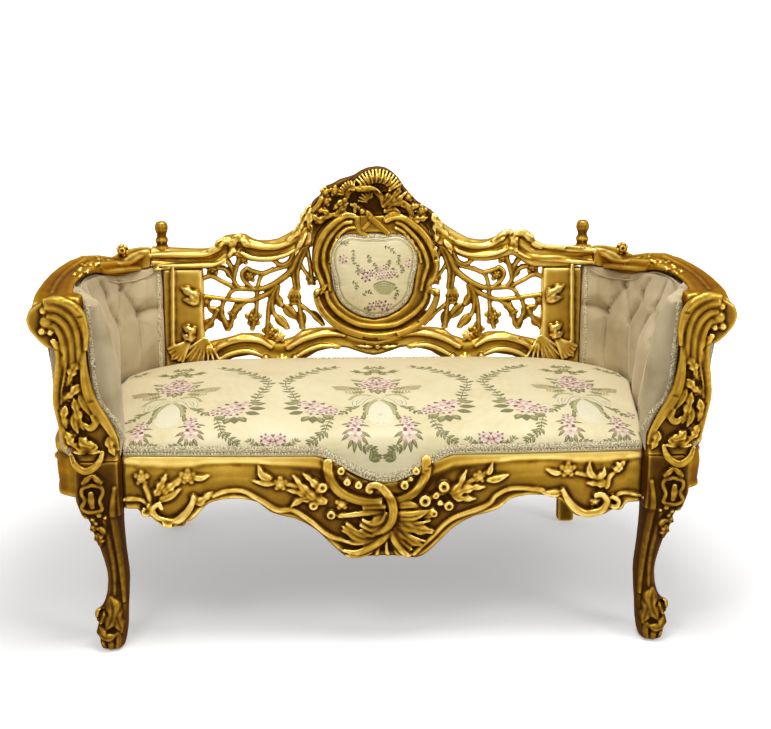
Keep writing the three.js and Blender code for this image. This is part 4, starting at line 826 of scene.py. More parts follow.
rail_right = strands(back, """
451,241 462,244 478,246 492,243 502,235 509,232.5 513,239 511,249; 5 6 6 6 7 8 7 4 0.9
456,250 468,253.5 484,254 498,252 508,247; 4 5 5.5 5 4 0.9
517,251 515,240 519,233 526,234 531,241 542,246.5 560,248 580,249 596,251; 4 7 8 7 6 6 6 6 5
    0.9
519,252 528,256 542,258.5 560,259 580,262 594,263; 4 5 5.5 5.5 5 4 0.9
""") + blades(back, """
432,213,3 438,224,4 445,237,3; 17 7 3
434,222,3 437,232,4 436,243,3; 14 6 2
440,229,3 448,238,4 458,243,3; 15 6 2
444,240,3 449,246,4 452,254,3; 12 6 1
498,240,5 503,235,6 508,233,5; 14 7 1
534,240,5 528,236,6 522,233,5; 14 7 1
""")
carve("crest_rail_right", rail_right, ease=3, fallback=back_face, depth=3.4, tone=-0.14)
rail_left = strands(back, """
300,237 290,243 276,247 260,246 248,243 240,238 235,239 233,247 235,252; 5 6 6 6 7 8 8 7 4
    0.9
296,250 284,256 268,259 252,258 241,252; 4 5 5.5 5 4 0.9
229,257 232,248 229,241 222,242 217,248 205,253.5 188,254.5 165,255 150,256; 4 7 8 7 6 6 6 6
    5 0.9
226,261 216,264.5 204,265 186,266 165,267 154,269; 4 5 5.5 5.5 5 4 0.9
""") + blades(back, """
311,205,3 303,219,4 300,230,3; 15 7 3
311,213,3 309,223,4 312,233,3; 13 6 2
303,220,3 299,230,4 302,241,3; 13 6 2
300,227,3 293,236,4 285,243,3; 14 6 2
306,228,3 300,244,4 295,256,3; 12 6 1
249,247,5 244,241,6 239,238,5; 14 7 1
216,246,5 221,242,6 226,240,5; 14 7 1
""")
carve("crest_rail_left", rail_left, ease=3, fallback=back_face, depth=3.4, tone=-0.14)

lower_half = strands(back, """
214,352 222,345 234,340 247,338.5 261,341 272,348; 5 6 7 7 6 4 0.9
217,362 227,355 242,351 255,353 263,357; 4 5 5 5 4 0.9
287,349 300,341 316,335 330,333 345,335; 5 6 7 7 5 0.9
296,357 308,350 322,346 340,348; 4 5 5 4 0.9
""")
lower_half += fan(back, 206, 336, 2, 30, 150, 235, 8, 3.6, 6)
lower_half += [bloom(back, 280, 337, 14, rise=10), bloom(back, 282, 360, 12, rise=9)]
lower_half += [boss(back, px, 357, 8.5, 11, base=3) for px in (266, 295)]
lower = lower_half + [mirror(part) for part in lower_half]
lower.append(button(back, 377.5, 346.5, 8, 12))
lower += [leaf(back((377 + 4 * way, 347, 5), (377 + 13 * way, 346, 7), (377 + 22 * way, 345, 4)),
               11, 6, 2) for way in (-1, 1)]
carve("lower_back_rail", lower, ease=4, fallback=lambda z: back_face(z) + 4, depth=3.2,
      tone=-0.08)

# %% [markdown]
# ## The pierced back
# Branches leave the medallion and wander to the stiles, with bell flowers, buds and leaves. The
# carver works them from one pierced board, so everything is joined where it crosses. The left side
# mirrors the right.

# %% Pierced back
BOARD = 18.0
branches = """
434,244 445,249 451,260 457.5,272.5 470,282.5 480,287.5 490,289.4 507.5,288.7 515,291
    520,299; 5 6 6.5 6.5 6.5 6 5 5 4.5 4 1.3
470,282.5 477.5,292.5 490,298.7 500,301 522.5,298.7 541,296; 6 5.5 5 4.5 4.5 4.5 1.3
439,246 452.5,260 460,266 472.5,270 485,275 490,288; 5 5 5 4.5 4.5 4 1.3
452,240 456,258.7 462.5,265 470,263.7 476,255; 5 5 5 4.5 4.5 1.3
473.7,268.7 482.5,273.7 495,271 500,268.7 505,273.7 502.5,281 495,288; 4 4.5 4.5 4.5 4.5 4.5
    4 1.3
507.5,288.7 512.5,281 511,270 505,252; 4.5 4.5 5 5 1.3
512,283 515,268 523,257; 4 4 5 1.3
513,280 521,270 529,267; 4 4 5 1.3
512.5,287.5 525,281 536,276 549,281; 4.5 4.5 4.5 5 1.3
470,285 476,297.5 478.7,310 480,337; 6 5 5 5 1.3
471,285 475,300 473.7,312.5 467.5,321 460,329; 5.5 5 4.5 4.5 5 1.3
468.7,286 470,297.5 465,306; 4.5 4.5 5 1.3
440,247 447,262 450,275 448.7,290; 5 5 4.5 4.5 1.3
451,262 454,275 452,290; 4 4.5 4.5 1.3
448.7,300 447,314 445,329; 4.5 5 7 1.3
446,306 436,314 424,326; 4.5 4 5 1.3
490,290 491,312.5 495,330; 4.5 4.5 5 1.3
500,301 507,306 513,312; 4.5 5 6 1.3
513,312 515,322 519,330; 4.5 4 5 1.3
522.5,299 525,312.5 518.7,326; 4.5 4.5 5 1.3
528,309 537.5,324 549,332.5; 4.5 5 6 1.3
440,250 437,268 435,284; 4.5 4.5 4.5 1.3
436,281 444,270 448,262; 4 4 4 1.3
541,296 546,299 552,299; 5 5 4 1.3
"""
pierced_leaves = """
464,306,0 457,313,0 449,321,0; 17 6 1
472,316,0 465,323,0 457,330,0; 15 6 1
448,312,0 446,321,0 445,330,0; 17 6 1
526,306,0 527,314,0 523,323,0; 16 6 1
527,309,0 533,310,0 540,306,0; 12 6 1
519,320,0 519,325,0 521,331,0; 18 6 1
513,275,0 517,264,0 524,257,0; 13 6 2
514,279,0 522,269,0 530,267,0; 12 6 2
470,296,0 468,303,0 464,309,0; 14 6 1
533,318,0 540,326,0 550,333,0; 17 6 2
436,312,0 430,319,0 422,327,0; 12 5 1
503,262,0 505,257,0 509,252,0; 14 6 2
505,304,0 509,307,0 514,313,0; 15 7 1
470,263,0 474,258,0 479,254,0; 13 6 1
"""
pierced_blooms = places("""
        497.5,276,14 534,268,15 504,259,13 493.7,318,17 477,332.5,17 436,281,12 514,314,11
        545,299,17 453,299,14 540,301,10""")
board = strands(back, branches, 1.42) + blades(back, pierced_leaves, 1.7, 5, 1)
board += [bloom(back, px, py, size * 1.2, rise=12) for px, py, size in pierced_blooms]
board += [leaf(back((453 + dx * 0.2, 288, 3), (453 + dx * 0.8, 294, 6), (453 + dx, 302, 3)),
               9, 6, 1, 5) for dx in (-5, -1.5, 2, 5.5)]
board += [boss(back, 453, 304, 13, 9, high=6), boss(back, 453, 291, 8, 9, high=9)]
verts, faces = join(board)
verts[:, 1] = back_face(verts[:, 2]) + BOARD - verts[:, 1] + 2
verts, faces = skin(verts, faces, 2.0)
verts = relax(verts, faces, 1)
verts[:, 0] = np.minimum(verts[:, 0], 435.0)
gild("fretwork_right", verts, faces, 2.6, 0.1, "fretwork_left")

# %% [markdown]
# ## Stiles, arm posts and legs
# The stiles are flat panels between beads. Each arm post is a bundle of flutes that rolls outwards
# into a leafy scroll, with roses down its side and a shell disc at its foot. Each cabriole leg has
# a shield, a bead row and bell flowers on its knee, flutes inside and a leaf-wrapped scroll foot.

# %% Stiles, posts and legs
stile = strands(back, """
572,264 572,310 572,356; 4 4 4 0.8
""") + blades(back, """
546,297,3 555,290,6 564,285,3; 20 9 2
546,300,3 554,298,5 562,297,3; 15 7 1
550,331,3 555,327,6 562,324,3; 18 9 2
550,334,3 557,334,6 563,332,3; 17 8 2
""")
stile += fan(back, 554, 336, 3, 25, 112, 160, 6, 3.8, 6)
# Painted shade on the bare ground of the stile, darker towards its foot below the seat.
carve("back_upright_right", stile, ease=4, voxel=2.6, fallback=back_face,
      twin="back_upright_left", tone=-0.11,
      ground_painted_light=lambda v: np.clip((430 - v[:, 2]) / 60, 0, 1) * 0.3)

post_strands = """
721,298,4 708,296.5,6 694,302,7 685,313,6 681.5,328,5 681,345,4; 6 8 8.5 8 7 4 0.9
682.5,343,3 682,362,5 678,385,6 670,402,6 660,417,6 652,431,5 648,444,3; 3 6 8.5 9 8 6 3 0.8
719,302,5 706,304,6 695,313,6 689.5,328,5 687.5,345,4 687,362,3; 8 8 7 6 5 3 0.9
717,311,5 708,313,6 699,322,6 694.5,337,5 693.5,357,4 695,372,3; 7 7 7 6 5 3 0.9
716,320,5 709,322,6 703,332,6 700.5,348,5 702,366,4 704.5,385,3 704,398,3; 6 6 6 6 5 4 3 0.9
712,334,4 708,342,4 706,354,4 708,378,4 708,397,4 702,422,4 698,441,3; 5 5 5 5 5 5 4 0.9
662.5,444,4 667,456,6 678,463,7 688,458,6 694,446,4; 3 6 7 6 3 0.9
673,408,5 670,416,6 675,421,6 681,417,5; 5 6 6 4 0.9
676,466,3 670,469,4 665,474,3; 4 4.5 3 0.9
"""
post_leaves = """
686,430,4 678,436,7 668,438,4; 18 8 2
688,356,4 693,366,6 696,377,4; 16 7 3
687,378,4 692,386,6 700,392,4; 15 7 2
691,392,4 687,407,6 681,424,4; 15 7 3
686,388,4 681,398,5 675,409,4; 12 6 1
699,398,4 700,410,6 697,421,4; 14 7 2
698,424,4 693,434,6 686,440,4; 15 7 3
658,430,4 655,440,6 651,449,4; 16 7 2
690,405,4 690,416,6 686,427,4; 12 6 1
"""
ornament = strands(post, post_strands) + blades(post, post_leaves)
ornament += fan(post, 678, 447, 2, 13, -75, 75, 8, 3.2, 8)
ornament += [bloom(post, *spot, rise=8)
             for spot in places("698.5,391,10 696,376,9 697,413,10 693,429,10 687,399,8")]
ornament += [boss(post, *spot, 10, base=3)
             for spot in places("718,317,15 722,326,9 721,306,9 714,327,8")]
# Painted shade on the bare ground of the post, slightly darker towards its foot.
carve("arm_post_right", ornament, ease=5, fallback=lambda z: -350.0, twin="arm_post_left",
      depth=2.7, tone=0.1, ground_painted_light=lambda v: 0.04 * np.clip((600 - v[:, 2]) / 120, 0, 1))

leg_strands = """
93,483,3 84,486,4 83,492,4 86,498,4 83,506,4 88,510,4 95,510,4 103,507,4 101,498,4 104,490,4
    102,485,4 93,483,3; 3.5 0.9
92,489,6 93,498,7 94,505,7; 4 6 4 0.9
93,473,4 88,477,5 83,482,4; 3 5 3 0.9
93,473,4 98,477,5 103,481,4; 3 5 3 0.9
115,486,2 113,510,2 115,530,2 118,555,2 121,582,2 123,606,2; 3 5 5.5 5 4.5 3 0.7
104,520,1 108,545,1 112,570,1 113,600,1; 2 3.5 3.5 2 0.6
103,636,2 103,642,3 105,648,2; 4 5 4 0.8
111,634,2 112,641,3 112,648,2; 4 5 4 0.8
119,630,2 120,638,3 119,646,2; 4 5 4 0.8
"""
leg_leaves = """
97,527,3 92,531,5 93,537,3; 10 6 1
98,527,3 103,531,5 103,537,3; 10 6 1
98,534,3 98,541,6 98,551,3; 18 7 3
109,601,3 113,614,7 107,628,3; 24 8 2
112,608,3 119,620,6 123,631,3; 20 7 2
98,626,3 106,634,6 118,632,3; 18 7 2
"""
ornament = strands(shin, leg_strands) + blades(shin, leg_leaves)
ornament += [boss(shin, *spot, 8, base=3) for spot in
             places("86,517,6 93,519,6.5 100,513,7 96,523,6 106,516,5 98,529,6")]
ornament += [boss(shin, 100.5, 616, 13, 11, high=19, turn=0.2), button(shin, 100, 621, 8, 12)]
carve("front_leg_left", ornament, ease=5, fallback=lambda z: -340.0, twin="front_leg_right",
      tone=0.28, depth=2.8)

# %% [markdown]
# ## Stuffing by simulation
# Upholstery is round because the stuffing pushes from inside while tacks hold the edge. `stuff`
# does the same: edge points are held, a gentle pressure fills the cover for twenty steps, and no
# point may move further than the stuffing of the real pad would let it.

# %% Stuffing helpers
def stuff(verts, faces, held, cap, pressure=4.0):
    """Points of a cover after it was filled. Held points stay."""
    mesh = bpy.data.meshes.new("cover")
    mesh.from_pydata((verts * MM).tolist(), [], faces.tolist())
    cover = bpy.data.objects.new("cover", mesh)
    bpy.context.scene.collection.objects.link(cover)
    cover.vertex_groups.new(name="tacks").add(np.flatnonzero(held).tolist(), 1.0, "REPLACE")
    cloth = cover.modifiers.new("filling", "CLOTH")
    cloth.settings.vertex_group_mass = "tacks"
    cloth.settings.use_pressure = True
    cloth.settings.uniform_pressure_force = pressure
    cloth.settings.effector_weights.gravity = 0
    cloth.settings.quality = 4
    cloth.point_cache.frame_start, cloth.point_cache.frame_end = 1, 20
    for step in range(1, 21):
        bpy.context.scene.frame_set(step)
    filled = cover.evaluated_get(bpy.context.evaluated_depsgraph_get()).to_mesh()
    points = np.empty(len(verts) * 3)
    filled.vertices.foreach_get("co", points)
    bpy.data.objects.remove(cover)
    bpy.data.meshes.remove(mesh)
    bpy.context.scene.frame_set(1)
    move = points.reshape(-1, 3) / MM - verts
    far = np.linalg.norm(move, axis=1)
    return verts + move * np.minimum(1, cap / np.maximum(far, 1e-6))[:, None]


def finer(grid, rows, cols):
    """A grid of points resampled smoothly to more rows and columns."""
    for axis, count in ((0, rows), (1, cols)):
        grid = np.moveaxis(grid, axis, 0)
        last = len(grid) - 1
        place = np.linspace(0, last, count)
        i = np.minimum(place.astype(int), last - 1)
        t = (place - i)[:, None, None]
        a, b, c, d = (grid[np.clip(i + k, 0, last)] for k in (-1, 0, 1, 2))
        grid = 0.5 * (2 * b + (c - a) * t + (2 * a - 5 * b + 4 * c - d) * t ** 2
                      + (3 * b - a - 3 * c + d) * t ** 3)
        grid = np.moveaxis(grid, 0, axis)
    return grid


def grid_normals(grid):
    out = np.cross(np.gradient(grid, axis=1), np.gradient(grid, axis=0))
    return out / (np.linalg.norm(out, axis=2)[..., None] + 1e-9)


print("stuffing helpers ready")

# %% [markdown]
# ## Silk brocade
# The seat is covered in a cream silk brocade: satin ground, with flowers, leaves and scrolls that
# float on it in coloured weft. The ground is one material with a weave bump and a faint moire. The
# flowers are thin shapes laid on the cloth in their own thread colours, because their outlines stay
# crisp there, as the weaver's floats do. Real threads lie 0.3 mm apart, too fine for the picture,
# so the weave is drawn at 1.6 mm.

# %% Brocade materials
WEAVE = 1.6
WAVE_SCALE = 0.157  # scale of a wave texture that gives one band in each metre of pitch


def brocade_ground():
    made, tree, shader, place = material("cream_silk_brocade")
    wave = node(tree, "ShaderNodeTexWave", {"wave_type": "RINGS", "rings_direction": "SPHERICAL"},
                Vector=place, Scale=26.0, Distortion=7.0, Detail=2.0, Detail_Scale=1.2)
    cloud = node(tree, "ShaderNodeTexNoise", Vector=place, Scale=7.0, Detail=3.0)
    blend = node(tree, "ShaderNodeMath", {"operation": "MULTIPLY"}, i0=wave, i1=0.07)
    blend = node(tree, "ShaderNodeMath", {"operation": "ADD"}, i0=blend, i1=cloud)
    colour = node(tree, "ShaderNodeValToRGB", i0=blend,
                  stops=[(0.3, "#D3C494"), (0.5, "#DED1A6"), (0.75, "#E6DAB3")])
    threads = node(tree, "ShaderNodeTexWave", {"bands_direction": "X"}, Vector=place,
                   Scale=WAVE_SCALE / (WEAVE * MM), Distortion=0.4)
    across = node(tree, "ShaderNodeTexWave", {"bands_direction": "DIAGONAL"}, Vector=place,
                  Scale=0.11 / (WEAVE * MM), Distortion=0.4)
    weave = node(tree, "ShaderNodeMath", {"operation": "MULTIPLY"}, i0=threads, i1=across)
    bump = node(tree, "ShaderNodeBump", Strength=0.25, Distance=0.0006, Height=weave)
    feed(tree, shader, Base_Color=colour, Normal=bump, Roughness=0.48, Sheen_Weight=0.25,
         Sheen_Roughness=0.4, Specular_IOR_Level=0.4)
    return made


def brocade_threads():
    made, tree, shader, place = material("coloured_silk_weft")
    thread = node(tree, "ShaderNodeAttribute", {"attribute_name": "thread"})
    grain = node(tree, "ShaderNodeTexNoise", Vector=place, Scale=520.0, Detail=2.0)
    shade = node(tree, "ShaderNodeValToRGB", i0=grain, stops=[(0.3, "#DADADA"), (0.7, "#FFFFFF")])
    colour = node(tree, "ShaderNodeMix", {"data_type": "RGBA", "blend_type": "MULTIPLY"}, i0=1.0,
                  i6=(thread, "Color"), i7=shade)
    bump = node(tree, "ShaderNodeBump", Strength=0.3, Distance=0.0005, Height=grain)
    feed(tree, shader, Base_Color=(colour, 2), Normal=bump, Roughness=0.55, Sheen_Weight=0.2)
    return made


SILK, WEFT = brocade_ground(), brocade_threads()
PINK, ROSE, WINE, SHELL = "#E6CBB4", "#C8998A", "#7C4249", "#F3E4CC"
OLIVE, MOSS, SAGE, CREAM, STRAW = "#A19C5C", "#77723E", "#BDB785", "#EEE6C6", "#C6B47E"
print("brocade", SILK.name, WEFT.name)

# %% [markdown]
# ## Seat
# A sprung and stuffed seat: firm roll at the front, crowned top, lower towards the arms, and a lobe
# that follows the dip in the apron. The cover is a grid whose rows run from the braid up the front,
# over the roll and back, so the pattern can be laid out along the cloth as a cutter would.

# %% Seat surface
cushion = tree_of(*blank("seat_cushion"))
FRONT_EDGE, FRONT_BOW = -328.0, 15.0
ROLL_IN, ROLL_HIGH = 45.0, 452.0
UP_FRONT, OVER_ROLL, TO_BACK, ACROSS = 76, 66, 545, 1230  # lengths of cloth
HALF_FRONT, SEAT_BACK = 561.0, 266.0
SEAT_STEP = 11.5
LOBE_LOW, LOBE_HALF, SEAT_FOOT = 377.0, 150.0, 441.0


def front_at(x):
    return FRONT_EDGE + FRONT_BOW * (x / 560) ** 2


def lobe_foot(x):
    """Lower edge of the seat front: flat along the apron, with a lobe down its middle."""
    t = np.clip(np.abs(x) / LOBE_HALF, 0, 1)
    return SEAT_FOOT - (SEAT_FOOT - LOBE_LOW) * (0.5 + 0.5 * np.cos(np.pi * t)) ** 0.75


def seat_grid(step):
    """Points of the cover, from the braid up the front, over the roll and to the back."""
    u = np.linspace(-1, 1, int(ACROSS / step))
    x = u * HALF_FRONT
    foot = lobe_foot(x)
    rows = [np.stack([x, front_at(x), foot + (ROLL_HIGH - foot) * share], 1)
            for share in np.linspace(0, 1, int(UP_FRONT / step), endpoint=False)]
    for angle in np.linspace(0, np.pi / 2, int(OVER_ROLL / step), endpoint=False):
        row = []
        for across in x:
            middle = Vector((across, front_at(across) + ROLL_IN, ROLL_HIGH))
            hit = cushion.ray_cast(middle, Vector((0, -math.cos(angle), math.sin(angle))), 120)[0]
            row.append(hit if hit is not None else middle)
        rows.append(np.array(row))
    for share in np.linspace(0, 1, int(TO_BACK / step)):
        row = []
        for k in u:
            y = ((FRONT_EDGE + ROLL_IN) * (1 - share) + SEAT_BACK * share
                 + FRONT_BOW * k * k * (1 - share))
            side = cushion.ray_cast(Vector((900, y, ROLL_HIGH)), Vector((-1, 0, 0)), 500)[0]
            across = k * (side.x - 1.5 if side is not None else HALF_FRONT)
            hit = cushion.ray_cast(Vector((across, y, 700)), Vector((0, 0, -1)), 400)[0]
            row.append((across, y, hit.z if hit is not None else ROLL_HIGH))
        rows.append(np.array(row))
    return np.array(rows)


def ease_grid(grid, times):
    for _ in range(times):
        inner = (grid[:-2, 1:-1] + grid[2:, 1:-1] + grid[1:-1, :-2] + grid[1:-1, 2:]) / 4
        grid[1:-1, 1:-1] += 0.6 * (inner - grid[1:-1, 1:-1])
    return grid


def under_seat(grid):
    low = grid.copy()
    low[..., 1] = np.maximum(grid[..., 1], front_at(grid[..., 0]) + 8)
    low[..., 2] = np.minimum(grid[..., 2], SEAT_FOOT)
    return low


seat = ease_grid(seat_grid(SEAT_STEP), 5)
rows, cols = seat.shape[:2]
crown, belly = [np.sin(np.pi * np.linspace(0, 1, count)) ** 0.5 for count in (rows, cols)]
seat += grid_normals(seat) * 3.0 * (crown[:, None] * belly)[..., None]
cover_verts, cover_faces = slab(seat, under_seat(seat))
held = np.ones((rows, cols), bool)
held[1:-1, 1:-1] = False
filled = stuff(cover_verts, cover_faces, np.r_[held.ravel(), np.ones(rows * cols, bool)], 10.0)
seat = finer(filled[:rows * cols].reshape(rows, cols, 3), 2 * rows - 1, 2 * cols - 1)
seat = ease_grid(seat, 4)
seat_out = grid_normals(seat)
if seat_out[-30, 100, 2] < 0:
    seat_out = -seat_out
seat_run = np.cumsum(np.r_[np.zeros((1, seat.shape[1])),
                           np.linalg.norm(np.diff(seat, axis=0), axis=2)], axis=0)
roll_row = 2 * int(UP_FRONT / SEAT_STEP)
seat_run -= seat_run[roll_row]
print("seat grid", seat.shape, "crown at", round(float(seat[..., 2].max()), 1))

# %% [markdown]
# ## Laying out the pattern
# The brocade repeats every 470 mm: a flower basket over a scrolled arch, rose drops beside it, and
# garlands that swing to the next repeat. One half is drawn in the picture, mirrored and repeated.
# Each place in the picture is looked up on the seat, so the pattern lies in cloth coordinates.

# %% Pattern helpers
def picture_of(points):
    """Where points in millimetres appear in the picture."""
    local = (points - EYE) @ VIEW
    return np.stack([PICTURE[0] / 2 - FOCAL * local[..., 0] / local[..., 2],
                     PICTURE[1] / 2 + FOCAL * local[..., 1] / local[..., 2]], -1)


class Cover:
    """A stuffed cover as a grid, with cloth coordinates across and along it."""

    def __init__(self, grid, out, run):
        self.grid, self.out, self.run = grid, out, run
        self.shown = picture_of(grid)
        facing = (out * (EYE - grid)).sum(2) > 0
        self.shown[~facing] = 1e6

    def find(self, px, py):
        """Cloth coordinates of a place in the picture."""
        gap = ((self.shown - (px, py)) ** 2).sum(2)
        i, j = np.unravel_index(gap.argmin(), gap.shape)
        return float(self.grid[i, j, 0]), float(self.run[i, j])

    def at(self, across, along_it, lift=0.0):
        """Point on the cover for cloth coordinates, or None off the cover."""
        rows, cols = self.run.shape
        j = (cols - 1) / 2
        for _ in range(4):
            column = self.run[:, int(round(min(max(j, 0), cols - 1)))]
            i = np.interp(along_it, column, np.arange(rows))
            row = self.grid[int(round(i)), :, 0]
            j = np.interp(across, row, np.arange(cols))
        if not column[1] < along_it < column[-2] or not row[1] < across < row[-2]:
            return None
        a, b = min(int(i), rows - 2), min(int(j), cols - 2)
        s, t = i - a, j - b
        mix = lambda g: (g[a, b] * (1 - s) * (1 - t) + g[a + 1, b] * s * (1 - t)
                         + g[a, b + 1] * (1 - s) * t + g[a + 1, b + 1] * s * t)
        return mix(self.grid) + lift * mix(self.out)


def patch(cover, outline, middle, lift=0.9):
    """A thin shape on the cover, from its outline and middle in cloth coordinates."""
    outline = np.asarray(outline)
    middle = np.asarray(middle, float)
    count = len(outline)
    points = [cover.at(*middle, lift)]
    for share, high in ((0.55, lift), (1.0, lift * 0.35)):
        points += [cover.at(*p, high) for p in middle + (outline - middle) * share]
    if any(p is None for p in points):
        return None
    k = np.arange(count)
    n = (k + 1) % count
    faces = np.vstack([np.stack([np.zeros(count, int), 1 + k, 1 + n], 1),
                       np.stack([1 + k, 1 + count + k, 1 + count + n], 1),
                       np.stack([1 + k, 1 + count + n, 1 + n], 1)])
    return np.array(points), faces


def blade(x, s, length, width, angle):
    """Outline and middle of a leaf or petal from its root. Angles in degrees, 90 points back."""
    t = np.linspace(0, 1, 5)
    half = 0.5 * width * np.sin(np.pi * t ** 0.85)
    shape = np.vstack([np.stack([t * length, half], 1), np.stack([t * length, -half], 1)[-2:0:-1]])
    c, d = math.cos(math.radians(angle)), math.sin(math.radians(angle))
    turned = shape @ np.array([[c, d], [-d, c]]) + (x, s)
    return turned, (x + 0.5 * length * c, s + 0.5 * length * d)


def stem(points, width):
    """Outlines of short joined strips along a smooth line."""
    line = along([(x, 0, s) for x, s in points], 10.5)[0][:, [0, 2]]
    made = []
    for a, b in zip(line[:-1], line[1:]):
        run = (b - a) / (np.linalg.norm(b - a) + 1e-9)
        side = np.array([-run[1], run[0]]) * width / 2
        a, b = a - run * 0.8, b + run * 0.8
        made.append((np.array([a + side, (a + b) / 2 + side, b + side, b - side,
                               (a + b) / 2 - side, a - side]), (a + b) / 2))
    return made


class Pattern:
    """Collects woven shapes with their thread colours."""

    def __init__(self, cover):
        self.cover, self.centre, self.side = cover, 0.0, 1
        self.parts, self.threads = [], []

    def put(self, shape, colour, lift=0.9):
        outline, middle = shape
        flip = np.array([self.side, 1.0])
        made = patch(self.cover, outline * flip + (self.centre, 0),
                     np.asarray(middle) * flip + (self.centre, 0), lift)
        if made is not None:
            self.parts.append((made[0], made[1] if self.side > 0 else made[1][:, ::-1]))
            self.threads.append(np.tile(linear(colour), (len(made[0]), 1)))

    def leaf(self, x, s, length, angle, colour=OLIVE, width=0.42):
        """A leaf with a darker edge."""
        self.put(blade(x, s, length, length * width, angle), MOSS, 0.7)
        if colour != MOSS:
            self.put(blade(x, s, length * 0.86, length * width * 0.6, angle), colour, 1.1)

    def spray(self, points, colour=OLIVE, size=11.0, gap=11.0, stalk=1.6):
        """A stem with leaves on both sides."""
        for shape in stem(points, stalk):
            self.put(shape, MOSS, 0.7)
        line = along([(x, 0, s) for x, s in points], gap)[0]
        for k in range(len(line) - 1):
            run = line[k + 1] - line[k]
            angle = math.degrees(math.atan2(run[2], run[0]))
            for turn in (-48, 48):
                self.leaf(line[k, 0], line[k, 2], size * (0.8 + 0.25 * math.sin(k * 2.4 + turn)),
                          angle + turn, colour if (k + (turn > 0)) % 3 else MOSS)

    def rose(self, x, s, r, turn=0.0):
        """A full rose of two rings of petals and a dark heart, in one of three colourings."""
        kind = int(abs(x * 7 + s * 3)) % 3
        heart, middle = (ROSE, WINE, WINE)[kind], (PINK, ROSE, ROSE)[kind]
        for k in range(6):
            self.put(blade(x, s, r * 1.18, r * 0.62, turn + 60 * k + 30),
                     WINE if k % 3 == 1 else heart, 0.7)
        for k in range(6):
            self.put(blade(x, s, r, r * 0.74, turn + 60 * k), PINK if k % 2 else SHELL, 1.0)
        for k in range(4):
            self.put(blade(x, s, r * 0.6, r * 0.42, turn + 90 * k + 20), middle, 1.3)
        self.put(blade(x - r * 0.25, s, r * 0.5, r * 0.44, 0), heart, 1.5)

    def scroll(self, points, width, colour, edge=None):
        for shape in stem(points, width + 2.4):
            self.put(shape, edge or MOSS, 0.6)
        for shape in stem(points, width):
            self.put(shape, colour, 1.0)

    def mesh(self):
        return *join(self.parts), np.vstack(self.threads)


def dressed(name, verts, faces, pattern, nodes, slot="floral_brocade"):
    """A cover with its woven flowers, as one piece of two materials."""
    flowers, leaves, threads = pattern
    every, all_faces = join([(verts, faces), (flowers, leaves)])
    piece = add_object(name, every, all_faces, SILK, slot, nodes)
    piece.data.materials.append(WEFT)
    piece.data.polygons.foreach_set(
        "material_index", [0] * len(faces) + [1] * (len(piece.data.polygons) - len(faces)))
    store = piece.data.attributes.new("thread", "FLOAT_COLOR", "POINT")
    store.data.foreach_set("color", np.vstack([np.ones((len(verts), 4)), threads]).ravel())
    return piece


print("pattern helpers ready")

# %% Seat brocade
seat_cover = Cover(seat, seat_out, seat_run)
REPEAT = 470.0
MOTIF_CENTRE = seat_cover.find(378, 400)[0]


def chart(x, y):
    """The drawing was made on an enlargement, six units to a pixel, from (110, 350)."""
    across, run = seat_cover.find(110 + x / 6, 350 + y / 6)
    return across - MOTIF_CENTRE, run


def charted(text):
    return [chart(x, y) for x, y in places(text)]


